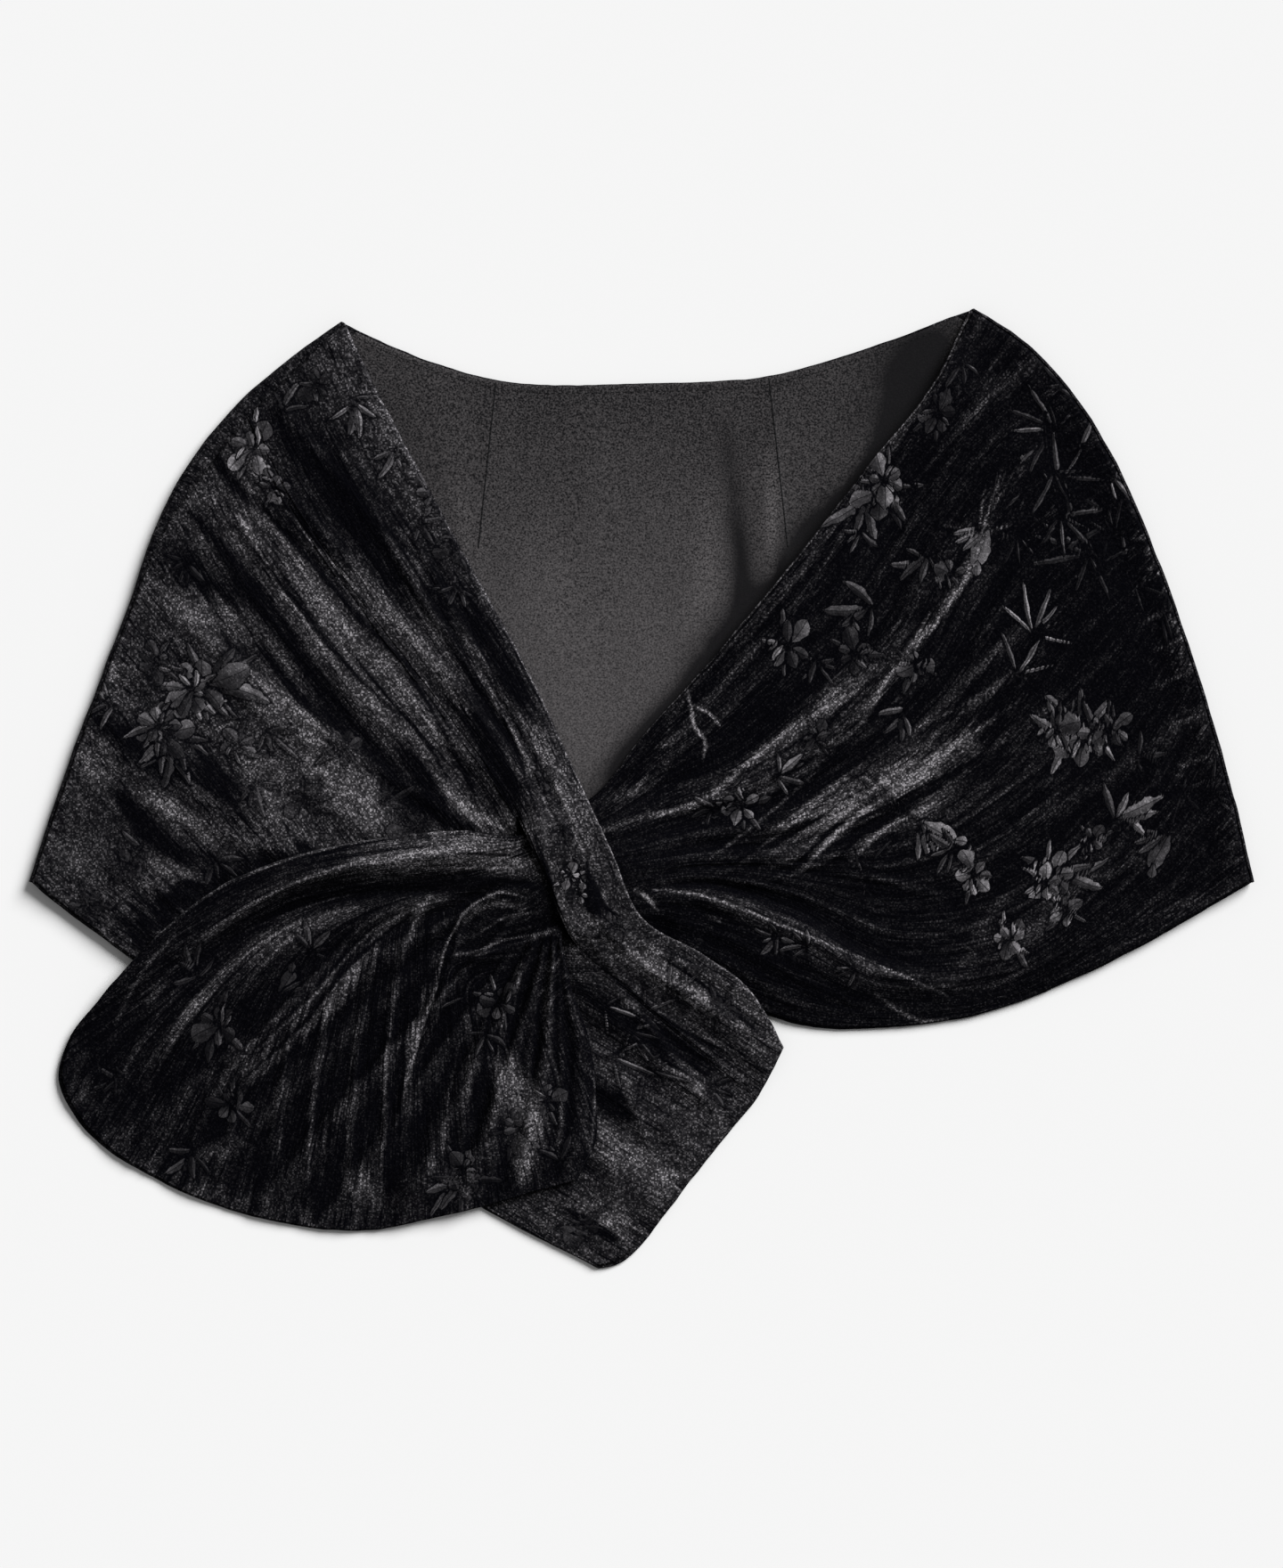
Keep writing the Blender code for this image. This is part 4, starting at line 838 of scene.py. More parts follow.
def petal_shading(part, aside, heading, half_width, pointed):
    """How light a shape is: lighter on its lit side and towards its tip."""
    toward = math.cos(heading + math.pi / 2 - LIT_FROM)
    facing = np.clip(3 * aside / half_width, -1, 1) * (toward + 0.3 * math.copysign(1, toward))
    facing = 0.6 + (0.04 + 0.22 * pointed) * facing + (0.45 - 0.3 * pointed) * (part - 0.5)
    return np.clip(facing, 0, 1)


def pattern_values(shapes, plan):
    """For each plan place: distance to the edge of its leaf shape, place across it, shading, and tone.

    The distance is below 0 inside. A later shape lies over an earlier one, with a dark line round it.
    """
    edge = np.full(plan.shape[:2], PATTERN_FAR)
    across, shade, tone = (np.zeros(plan.shape[:2]) for _ in range(3))
    wander = value_noise(plan[..., 0] / 2.4, plan[..., 1] / 2.4, 71) - 0.5
    for x, y, heading, length, half_width, pointed, lightness, bow in shapes:
        reach = length + 5
        near = np.nonzero((np.abs(plan[..., 0] - x) < reach) & (np.abs(plan[..., 1] - y) < reach))
        if not len(near[0]):
            continue
        offset = plan[near] - (x, y)
        ahead = offset @ (math.cos(heading), math.sin(heading))
        part = np.clip(ahead / length, 0, 1)
        aside = offset @ (-math.sin(heading), math.cos(heading)) - bow * length * part * (1 - part)
        outline = half_outline(part, half_width, pointed)
        beyond = np.maximum(np.maximum(-ahead, ahead - length), 0)
        distance = np.hypot(np.maximum(np.abs(aside) - outline, 0), beyond)
        distance = np.where((np.abs(aside) < outline) & (beyond == 0), np.abs(aside) - outline, distance)
        distance += wander[near] * min(1.6, 0.45 * half_width)
        shading = petal_shading(part, aside, heading, half_width, pointed)
        over = (distance < 0) | ((edge[near] > 0) & (distance < edge[near]))
        outlined = tuple(axis[(distance >= 0) & (distance < OUTLINE_WIDTH)] for axis in near)
        edge[outlined] = np.maximum(edge[outlined], 0.1)
        spots = tuple(axis[over] for axis in near)
        edge[spots], across[spots] = distance[over], aside[over]
        shade[spots], tone[spots] = shading[over], lightness
    return edge, across, shade, tone


def petal_rise(pressed):
    """How far the pressed shapes stand over the cloth."""
    return PETAL_RISE * ease(-pressed[0] / PETAL_ROUND)


def grid_faces(rows, columns, cut_row=None):
    """Quads between the points of a grid, without those between cut_row and the row after it."""
    row, column = np.meshgrid(np.arange(rows - 1), np.arange(columns - 1), indexing="ij")
    if cut_row is not None:
        keep = row != cut_row
        row, column = row[keep], column[keep]
    first = (row * columns + column).ravel()
    return np.column_stack((first, first + 1, first + columns + 1, first + columns))


def spaced(count, also=()):
    """The rows or columns that an underside keeps, and the last one and any others named."""
    return sorted({*range(0, count, UNDERSIDE_STEP), count - 1, *also})


def spaced_out(under, cut_row):
    """An underside's heights with the points that its large faces leave out laid level with them."""
    rows, columns = under.shape
    kept_columns = spaced(columns)
    kept_rows = spaced(rows, () if cut_row is None else (cut_row, cut_row + 1))
    few = np.array([np.interp(np.arange(columns), kept_columns, under[k, kept_columns]) for k in kept_rows])
    return np.array([np.interp(np.arange(rows), kept_rows, column) for column in few.T]).T


def underside_faces(rows, columns, cut_row, slit):
    """Large faces for an underside, with every point of the grid along its open edges.

    slit is the first and the last column of the slit in cut_row, or None.
    """
    kept_columns = spaced(columns, slit or ())
    kept_rows = spaced(rows, () if cut_row is None else (cut_row, cut_row + 1))
    faces = []
    for low, high in zip(kept_rows, kept_rows[1:]):
        if low == cut_row:
            continue
        for left, right in zip(kept_columns, kept_columns[1:]):
            in_slit = slit and slit[0] <= left and right <= slit[1]
            low_open = low == 0 or (in_slit and low == cut_row + 1)
            high_open = high == rows - 1 or (in_slit and high == cut_row)
            first = low * columns + np.arange(left, right + 1, 1 if low_open else right - left)
            up = columns * np.arange(low, high + 1, 1 if right == columns - 1 else high - low) + right
            back = high * columns + np.arange(right, left - 1, -1 if high_open else left - right)
            down = columns * np.arange(high, low - 1, -1 if left == 0 else low - high) + left
            faces.append(np.concatenate((first[:-1], up[:-1], back[:-1], down[:-1])))
    return faces


def border_lines(rows, columns):
    """The points of a grid's four edges, one edge after another round it."""
    return [
        np.arange(columns),
        np.arange(rows) * columns + columns - 1,
        np.arange(columns)[::-1] + (rows - 1) * columns,
        np.arange(rows)[::-1] * columns,
    ]


def shell_mesh(name, plan, top, under, flow, values, cut=None):
    """A closed shell of cloth between two grids of heights.

    flow is each point's place along and across the panel in millimetres, and becomes the UV map, named
    flow. cut is the row before a slit and the columns inside it. values are what the velvet reads.
    """
    rows, columns = top.shape
    count = rows * columns
    row, inside = cut if cut else (None, None)
    top = np.maximum(top, spaced_out(under, row) + LEAST_WALL)
    same = np.arange(count)
    border = border_lines(rows, columns)
    slit = None
    if cut:
        joined = (row + 1) * columns + np.nonzero(~inside)[0]
        same[joined] = joined - columns
        opened = np.nonzero(inside)[0]
        opened = np.arange(opened[0] - 1, opened[-1] + 2)
        slit = (opened[0], opened[-1])
        border += [row * columns + opened[::-1], same[(row + 1) * columns + opened]]
    edges = np.concatenate([np.column_stack((same[line[:-1]], same[line[1:]])) for line in border])
    edges = edges[edges[:, 0] != edges[:, 1]]
    rim = np.column_stack((edges[:, 0], edges[:, 0] + count, edges[:, 1] + count, edges[:, 1]))
    upper = same[grid_faces(rows, columns, row)].tolist()
    lower = [(same[face] + count)[::-1].tolist() for face in underside_faces(rows, columns, row, slit)]
    everything = upper + lower + rim.tolist()
    step_u, step_v = plan[0, 1] - plan[0, 0], plan[1, 0] - plan[0, 0]
    if step_u[0] * step_v[1] - step_u[1] * step_v[0] < 0:
        everything = [face[::-1] for face in everything]
    swayed = (plan + swaying(plan)).reshape(-1, 2)
    points = np.concatenate([np.column_stack((swayed, level.ravel())) for level in (top, under)]) * MM
    used = np.unique(np.concatenate(everything))
    renumber = np.full(2 * count, -1)
    renumber[used] = np.arange(len(used))
    mesh = bpy.data.meshes.new(name)
    mesh.from_pydata(points[used].tolist(), [], [renumber[face].tolist() for face in everything])
    add_flow(mesh, np.tile(np.column_stack([part.ravel() for part in flow]), (2, 1))[used])
    add_values(mesh, {key: np.concatenate((value, value))[used] for key, value in values.items()})
    mesh.shade_smooth()
    underside = np.zeros(len(mesh.polygons), int)
    underside[len(upper) : len(upper) + len(lower)] = 1
    mesh.polygons.foreach_set("material_index", underside)
    return placed(name, mesh)


def placed(name, data):
    """A new object with the data given, in the scene."""
    made = bpy.data.objects.new(name, data)
    bpy.context.scene.collection.objects.link(made)
    return made


def swaying(plan):
    """A small unevenness, shared by all the panels, that keeps their edges from being drawn by ruler."""
    x, y = plan[..., 0], plan[..., 1]
    sway = [
        value_noise(x / 11, y / 11, seed) + 0.4 * value_noise(x / 4, y / 4, seed + 1) - 0.7
        for seed in (51, 57)
    ]
    return EDGE_SWAY * np.stack(sway, axis=-1)


def add_flow(mesh, flow):
    """Each point's place along and across its panel, as a UV map in metres."""
    corners = np.zeros(len(mesh.loops), int)
    mesh.loops.foreach_get("vertex_index", corners)
    mesh.uv_layers.new(name="flow").data.foreach_set("uv", (flow * MM)[corners].ravel())


def add_values(mesh, values):
    """The values at a mesh's points that its material reads: one number each, or four for pressed."""
    for name, value in values.items():
        four = value.ndim == 2
        layer = mesh.attributes.new(name, "FLOAT_COLOR" if four else "FLOAT", "POINT")
        layer.data.foreach_set("color" if four else "value", value.ravel())


def velvet_values(pressed, plan, top, pile):
    """The pressed pattern packed as a colour, the pile's lightness with painted highlight on crests and
    painted shade in hollows, and how streaked the cloth is.
    """
    edge, across, shade, tone = (part.ravel() for part in pressed)
    span = 2 * PATTERN_FAR
    packed = np.column_stack((edge / span + 0.5, across / span + 0.5, shade, tone))
    # crests of the relief get a painted highlight and hollows painted shade
    relief = np.clip(top - blurred(top, RELIEF_BLUR), -RELIEF_MOST, RELIEF_MOST)
    combed = np.clip(1 + strokes(CALM_PLACES, plan), LEAST_COMBED, 1)
    pile = np.maximum(pile + RELIEF_PAINTED_LIGHT * relief, LEAST_PILE)
    return {"pressed": packed, "pile": pile.ravel(), "combed": combed.ravel()}


def hex_colour(text):
    """Linear RGBA from an sRGB hex value."""
    parts = [int(text[k : k + 2], 16) / 255 for k in (1, 3, 5)]
    return (*[p / 12.92 if p <= 0.04045 else ((p + 0.055) / 1.055) ** 2.4 for p in parts], 1.0)


def add(tree, kind, links=None, **settings):
    """Adds a node with its settings; links maps an input to a value or to another node's output."""
    made = tree.nodes.new(kind)
    for name, value in settings.items():
        setattr(made, name, value)
    for socket, source in (links or {}).items():
        if isinstance(source, bpy.types.NodeSocket):
            tree.links.new(source, made.inputs[socket])
        else:
            made.inputs[socket].default_value = source
    return made


def new_material(name, inputs):
    """A material with one shader, and the values of that shader's inputs."""
    made = bpy.data.materials.new(name)
    made.use_nodes = True
    tree = made.node_tree
    tree.nodes.clear()
    shader = add(tree, "ShaderNodeBsdfPrincipled", inputs)
    add(tree, "ShaderNodeOutputMaterial", {"Surface": shader.outputs["BSDF"]})
    return made, tree, shader


def worked(tree, operation, *values):
    """The result of one step of arithmetic on values or outputs."""
    return add(tree, "ShaderNodeMath", dict(enumerate(values)), operation=operation).outputs[0]


def arithmetic(tree):
    """Functions that multiply, add, and multiply two values and add a third."""
    return [partial(worked, tree, kind) for kind in ("MULTIPLY", "ADD", "MULTIPLY_ADD")]


def attribute(tree, name):
    """The outputs of a node that reads an attribute of the mesh."""
    return add(tree, "ShaderNodeAttribute", attribute_name=name).outputs


def ranged(tree, value, low, high, to_low=0.0, to_high=1.0, smooth=False):
    """A value from low to high brought to the range from to_low to to_high."""
    places = {"Value": value, "From Min": low, "From Max": high, "To Min": to_low, "To Max": to_high}
    kind = "SMOOTHSTEP" if smooth else "LINEAR"
    return add(tree, "ShaderNodeMapRange", places, interpolation_type=kind).outputs[0]


def noise(tree, place, size, detail=2.0, distortion=0.0):
    """Noise with features of the given sizes in metres along the place's axes."""
    spread = add(tree, "ShaderNodeMapping", {"Vector": place, "Scale": [1 / part for part in size]})
    settings = {"Vector": spread.outputs[0], "Scale": 1.0, "Detail": detail, "Distortion": distortion}
    return add(tree, "ShaderNodeTexNoise", settings).outputs["Fac"]


def coloured(tree, shader, share, dark, light):
    """Gives a shader a colour between two hex values, by the share of the light one."""
    ends = {0: share, 6: hex_colour(dark), 7: hex_colour(light)}
    colour = add(tree, "ShaderNodeMix", ends, data_type="RGBA").outputs[2]
    tree.links.new(colour, shader.inputs["Base Color"])


def bumped(tree, shader, height, strength, distance):
    """Gives a shader a fine relief from the height, distance in metres."""
    bump = add(tree, "ShaderNodeBump", {"Height": height, "Strength": strength, "Distance": distance})
    tree.links.new(bump.outputs[0], shader.inputs["Normal"])


def pressed_velvet():
    """Viscose velvet, crushed and pressed: the pile lies in streaks along the cloth, black where it stands
    up and charcoal where it lies flat, with painted highlights and painted shade on its folds and petals; a
    finer grain sparkles in it."""
    looks = {
        "Specular IOR Level": 0.01,
        "Sheen Weight": 0.015,
        "Sheen Roughness": 0.35,
        "Sheen Tint": hex_colour("#c4c4d0"),
        "Roughness": 0.6,
    }
    made, tree, shader = new_material("crushed_viscose_velvet", looks)
    times, plus, times_plus = arithmetic(tree)
    places = add(tree, "ShaderNodeTexCoord").outputs
    flow, spot = places["UV"], places["Object"]
    # creases 1.1 mm across and 20 mm along, wider ones 4 by 50 mm, mottles of 6 and 1.6 mm
    fine = noise(tree, flow, (0.02, 0.0011, 1), 2.0, 0.3)
    wide = noise(tree, flow, (0.05, 0.004, 1), 3.0, 0.5)
    mottle = noise(tree, spot, (0.006, 0.006, 0.006), 4.0, 0.4)
    speckle = noise(tree, spot, (0.0016, 0.0016, 0.0016), 2.0)
    # tufts 0.3 mm across are drawn 0.7 mm across, and a few of them sparkle
    cells = add(tree, "ShaderNodeVectorMath", {0: spot, 1: (0.0007, 0.0007, 0.0007)}, operation="SNAP")
    tuft = add(tree, "ShaderNodeTexWhiteNoise", {"Vector": cells.outputs[0]}).outputs["Value"]
    sparkle = worked(tree, "POWER", tuft, 3.0)
    grain = times(times_plus(sparkle, 1.3, 0.6), ranged(tree, speckle, 0.3, 0.7, 0.76, 1.24))
    # the pile: how it lies, with painted light and shade, and streaks along it where it is combed
    pile, combed = (attribute(tree, name)["Fac"] for name in ("pile", "combed"))
    dark_streaks = ranged(tree, fine, 0.56, 0.67, 0.1, -0.9)
    light_streaks = ranged(tree, fine, 0.44, 0.33, 0.0, 0.75)
    streaks = plus(plus(dark_streaks, light_streaks), ranged(tree, wide, 0.36, 0.64, -0.36, 0.36))
    streaks = plus(times(streaks, combed), ranged(tree, mottle, 0.34, 0.66, -0.22, 0.22))
    ground = times_plus(streaks, ranged(tree, pile, 0.0, 0.6, 0.1, 0.33), pile)
    # the pressed pattern, whose edges wander by a third of a millimetre, as the pile does
    pressed = attribute(tree, "pressed")
    parts = add(tree, "ShaderNodeSeparateColor", {"Color": pressed["Color"]}).outputs
    edge = times_plus(speckle, 0.08, worked(tree, "SUBTRACT", parts[0], 0.04))
    inside = ranged(tree, edge, 0.5, 0.45, smooth=True)
    ground = times(ground, ranged(tree, edge, 0.5, 0.7, 0.35, 1.0))
    vein_away = worked(tree, "ABSOLUTE", worked(tree, "SUBTRACT", parts[1], 0.5))
    # the third part is the petal's painted shading: a painted highlight on its lit side, painted shade on
    # the other
    petal = times(parts[2], ranged(tree, vein_away, 0.01, 0.05, 0.5, 1.0))
    petal = times(petal, ranged(tree, mottle, 0.36, 0.6, 0.75, 1.1))
    petal = times(petal, times_plus(pressed["Alpha"], 0.86, 0.1))
    petal = times(petal, times_plus(grain, 0.3, 0.7))
    petal = worked(tree, "MAXIMUM", petal, times(times(pile, grain), 0.75))
    ground = times_plus(sparkle, 0.1, times(worked(tree, "MAXIMUM", ground, 0.0), grain))
    lightness = add(tree, "ShaderNodeMix", {0: inside, 2: ground, 3: petal}, data_type="FLOAT").outputs[0]
    coloured(tree, shader, worked(tree, "POWER", plus(lightness, 0.03), 2.2), "#030306", "#99969a")
    height = times_plus(speckle, 0.6, times_plus(inside, 0.15, times(times(fine, combed), 0.7)))
    bumped(tree, shader, height, 0.9, 0.0008)
    return made


def satin_lining():
    """Satin-backed polyester lining: smooth and close woven, dark grey, with a fine even grain; its sheen
    and shade are painted.
    """
    looks = {"Roughness": 0.6, "Specular IOR Level": 0.12}
    made, tree, shader = new_material("satin_polyester_lining", looks)
    times, _, times_plus = arithmetic(tree)
    place = add(tree, "ShaderNodeTexCoord").outputs["Object"]
    # threads 0.3 mm apart are drawn 0.8 mm apart, and show as grain; a painted sheen drifts over 90 mm
    grain = noise(tree, place, (0.0009, 0.0009, 0.0009), 3.0)
    cloud = noise(tree, place, (0.09, 0.09, 0.09), 2.0)
    # painted shade: the lining is darker up towards the neckline
    up_the_back = add(tree, "ShaderNodeSeparateXYZ", {"Vector": place}).outputs[1]
    height = ranged(tree, up_the_back, 0.03, 0.2, 1.0, 0.1)
    mixed = times_plus(cloud, 0.25, times_plus(height, 0.386, 0.043))
    mixed = times_plus(worked(tree, "SUBTRACT", grain, 0.5), 1.9, mixed)
    # the shade attribute paints the shadow beside the pulled front and the shading of a valley and the
    # darts
    mixed = times(worked(tree, "MAXIMUM", mixed, 0.0), attribute(tree, "shade")["Fac"])
    coloured(tree, shader, mixed, "#08070a", "#5d5a5b")
    bumped(tree, shader, grain, 0.25, 0.0002)
    return made


def dressed(piece, node, slot, *materials):
    """Gives a piece its materials and body, and hides the solid that it stands for; slot is not used."""
    for material in materials:
        piece.data.materials.append(material)
    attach(piece, "root")
    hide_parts(node)
    return piece


def pressed_cloth(shapes, plan, flow, creases, crush, seed):
    """The pressed pattern's values, and the relief of a panel's creases, crushed pile and petals."""
    pressed = pattern_values(shapes, plan)
    return pressed, strokes(creases, plan) + crush * crushed(*flow, seed) + petal_rise(pressed)


def pile_and_painted_light(base, table, plan, flow, rim_rows=0):
    """A panel's pile lightness with its painted light and shade, and a painted highlight at a turned neck
    edge.
    """
    pile = base + strokes(table, plan, feathered(plan, flow))
    pile[:rim_rows] += RIM_PAINTED_HIGHLIGHT
    return pile


def make_pulled_front(shapes):
    """The viewer's right front, gathered towards the slit."""
    coarse_u = np.linspace(0, 1, 35)
    top, under = node_heights("pulled_front", pulled_plan(coarse_u, ROWS))
    u = graded(0, 1, 350, near_start=1 / 380)
    v = graded(0, 1, 250, near_start=1 / 200, near_stop=1 / 200)
    plan = pulled_plan(u, v)
    flow = np.meshgrid(u * PULLED_CLOTH[0], v * PULLED_CLOTH[1])
    top, under = (finer(level, coarse_u, ROWS, u, v) for level in (top, under))
    pressed, relief = pressed_cloth(shapes, plan, flow, PULLED_CREASES, 1.0, 3.0)
    drop = np.maximum(edge_weight(len(v))[:, None], edge_weight(len(u), at_end=False)[None])
    lift = (1 - np.clip(v / NECK_LIFT_SHARE, 0, 1)) ** 2
    lift = NECK_LIFT * lift[:, None] * (ease(u / 0.12) * ease((0.8 - u) / 0.35))[None]
    under = under + lift + EDGE_RISE * drop
    top = below(top + lift + relief - EDGE_DROP * drop, under, plan, ["slit_front"])
    values = velvet_values(pressed, plan, top, pile_and_painted_light(PULLED_BASE, PULLED_PILE_AND_PAINTED_LIGHT, plan, flow, rim_rows=2))
    return shell_mesh("velvet_pulled_front", plan, top, under, flow, values)


def slit_flow(u, v, plan):
    """Places along and across the slit front's pile: along the cloth, and straight down the tail."""
    heading = np.array((math.cos(TAIL_FLOW), math.sin(TAIL_FLOW)))
    turned = np.array((heading[1], -heading[0]))
    offset = plan - TAIL_FLOW_FROM
    tail = ease((u - SLIT_TO + 0.03) / 0.08)[None]
    long, wide = SLIT_CLOTH
    length = u[None] * long * (1 - tail) + (SLIT_TO * long + offset @ heading) * tail
    return length, v[:, None] * wide * (1 - tail) + (0.3 * wide + offset @ turned) * tail


def within_slit(u):
    return (u > SLIT_FROM + SAME_SHARE) & (u < SLIT_TO - SAME_SHARE)


def level_with_slit(level, coarse_u, u, strip_v, body_v):
    """A level of the slit front at finer places: smooth over the slit's line, but not in the slit."""
    below_lip = LIP_ROW + 1
    whole = np.delete(level, below_lip, axis=0)
    whole[LIP_ROW] = (level[LIP_ROW] + level[below_lip]) / 2
    joined = finer(whole, coarse_u, ROWS, u, np.concatenate((strip_v, body_v)))
    strip = finer(level[:below_lip], coarse_u, ROWS[:below_lip], u, strip_v)
    body = finer(level[below_lip:], coarse_u, ROWS[LIP_ROW:], u, body_v)
    return np.where(within_slit(u)[None], np.concatenate((strip, body)), joined)


def make_slit_front(shapes):
    """The viewer's left front: the body, the slit with the strip beside it, and the tail."""
    coarse_u = np.concatenate((
        np.linspace(0, SLIT_FROM, 21),
        np.linspace(SLIT_FROM, SLIT_TO, 9)[1:],
        np.linspace(SLIT_TO, 1, 9)[1:],
    ))  # fmt: skip
    opening = within_slit(coarse_u) * SLIT_OPEN
    coarse_plan = slit_plan(coarse_u, np.insert(ROWS, LIP_ROW, ROWS[LIP_ROW]))
    coarse_plan[LIP_ROW + 1] += TO_FAN * opening[:, None]
    heights = node_heights("slit_front", coarse_plan)
    u = np.concatenate((
        graded(0, SLIT_FROM, 224, near_start=1 / 430),
        np.linspace(SLIT_FROM, SLIT_TO, 72)[1:],
        graded(SLIT_TO, 1, 88, near_stop=1 / 430)[1:],
    ))  # fmt: skip
    one_mm = 1 / 210  # as a share of the width
    strip_v = graded(0, SLIT_LINES[1], 48, near_start=one_mm, near_stop=one_mm)
    body_v = graded(SLIT_LINES[1], 1, 180, near_start=one_mm, near_stop=one_mm)
    v = np.concatenate((strip_v, body_v))
    row = len(strip_v) - 1
    inside = within_slit(u)
    plan = slit_plan(u, v)
    opening = np.interp(u, coarse_u, opening)
    near_lip = np.clip(1 - (body_v - SLIT_LINES[1]) / (4 * one_mm), 0, 1)
    plan[row + 1 :] += TO_FAN * (near_lip[:, None] * opening[None])[..., None]
    top, under = (level_with_slit(level, coarse_u, u, strip_v, body_v) for level in heights)
    flow = slit_flow(u, v, plan)
    pressed, relief = pressed_cloth(shapes, plan, flow, SLIT_CREASES, 0.7, 17.0)
    strip_rows, body_rows = len(strip_v), len(body_v)
    lips = np.concatenate((edge_weight(strip_rows, at_start=False), edge_weight(body_rows, at_end=False)))
    ends = np.concatenate((edge_weight(strip_rows, at_end=False), edge_weight(body_rows, at_start=False)))
    drop = np.maximum(ends[:, None], edge_weight(len(u))[None])
    drop = np.maximum(drop, lips[:, None] * (opening / SLIT_OPEN)[None])
    under = under + EDGE_RISE * drop
    top = top + relief - EDGE_DROP * drop
    top[row + 1 :] = below(top[row + 1 :], under[row + 1 :], plan[row + 1 :], ["pulled_end"])
    top[row + 1, ~inside] = top[row, ~inside]
    under[row + 1, ~inside] = under[row, ~inside]
    values = velvet_values(pressed, plan, top, pile_and_painted_light(SLIT_BASE, SLIT_PILE_AND_PAINTED_LIGHT, plan, flow, rim_rows=2))
    return shell_mesh("velvet_slit_front", plan, top, under, flow, values, cut=(row, inside))


def fan_flow(u, v, plan):
    """Places along and across the fan's pile: along the cloth in the rolled fold, and fanned out below."""
    ahead = plan - FAN_FLOW_FROM
    spread = (np.arctan2(ahead[..., 1], ahead[..., 0]) - FAN_FLOW_ANGLE) * FAN_FLOW_RADIUS
    fanned = ease((v - 0.16) / 0.16)[:, None] * ease((u - 0.12) / 0.25)[None]
    long, wide = FAN_CLOTH
    length = u[None] * long * (1 - fanned) + (np.hypot(ahead[..., 0], ahead[..., 1]) - 60) * fanned
    return length, v[:, None] * wide * (1 - fanned) + spread * fanned


def make_pulled_end(shapes):
    """The pulled front's end, out of the slit: a rolled fold above, and pleats that fan out below."""
    coarse_u = np.concatenate((np.linspace(0, LIP_SHARE, 4), np.linspace(LIP_SHARE, 1, 22)[1:]))
    coarse_v = np.linspace(0, 1, 43)
    top, under = node_heights("pulled_end", fan_plan(coarse_u, coarse_v))
    u = np.concatenate((np.linspace(0, LIP_SHARE, 20), graded(LIP_SHARE, 1, 240, near_stop=1 / 270)[1:]))
    v = graded(0, 1, 330, near_start=1 / 330, near_stop=1 / 330)
    plan = fan_plan(u, v)
    flow = fan_flow(u, v, plan)
    top, under = (finer(level, coarse_u, coarse_v, u, v) for level in (top, under))
    shown = ease((u - LIP_SHARE) / 0.06)[None]
    pressed, relief = pressed_cloth(shapes, plan, flow, FAN_CREASES, 0.65, 31.0)
    drop = np.maximum(edge_weight(len(v))[:, None], edge_weight(len(u), at_start=False)[None]) * shown
    under = np.maximum(under, 0) + EDGE_RISE * drop
    top = np.maximum(top + relief * shown - EDGE_DROP * drop, under + LEAST_WALL)
    values = velvet_values(pressed, plan, top, pile_and_painted_light(FAN_BASE, FAN_PILE_AND_PAINTED_LIGHT, plan, flow))
    return shell_mesh("velvet_fan", plan, top, under, flow, values)


def make_back_lining():
    """The lining that shows in the neck opening, with its two darts."""
    u, v = (graded(*ends, steps) for ends, steps in zip(LINING_SHARES, (400, 220)))
    plan = back_plan(u, v)
    under = np.full(plan.shape[:2], BACK_WALL + GAP)
    drop = edge_weight(len(v))[:, None] * 0.3
    top = under + LINING_WALL + strokes(LINING_CREASES, plan) - drop
    for x0, y0, x1, y1 in DARTS:
        top += strokes(((DART_RISE, 0.7, 7, x0, y0, x1, y1),), plan)
    top = below(top, under - 0.4, plan, ["slit_front", "pulled_front"])
    shade = {"shade": np.clip(1 + strokes(LINING_SHADE, plan), *SHADE_RANGE).ravel()}
    flow = np.meshgrid(u * LINING_CLOTH[0], v * LINING_CLOTH[1])
    return shell_mesh("satin_back_lining", plan, top, under, flow, shade)


def side_wrap(side, v):
    """Rows of points round a side's fold: from its seam over the top, down and under to the flat part."""
    edge, normal, last = along(side, v), inward(side, v), seam_in(side, v)
    lean = np.clip((SIDE_FOLD - last) / SIDE_FOLD, 0, 1)
    start = np.arccos(lean)
    rows = []
    for share in np.linspace(1, 0, FOLD_STEPS)[:-1]:
        inset = np.where(last > SIDE_FOLD, SIDE_FOLD + (last - SIDE_FOLD) * share, last)
        height = SIDE_FOLD * (1 + np.sin(start))
        rows.append(np.column_stack((edge + normal * inset[:, None], height)))
    for share in np.linspace(1, -1, 2 * FOLD_STEPS + 1):
        angle = start * share if share > 0 else np.full(len(v), math.pi / 2 * share)
        inset = SIDE_FOLD * (1 - np.cos(angle))
        rows.append(np.column_stack((edge + normal * inset[:, None], SIDE_FOLD * (1 + np.sin(angle)))))
    return rows


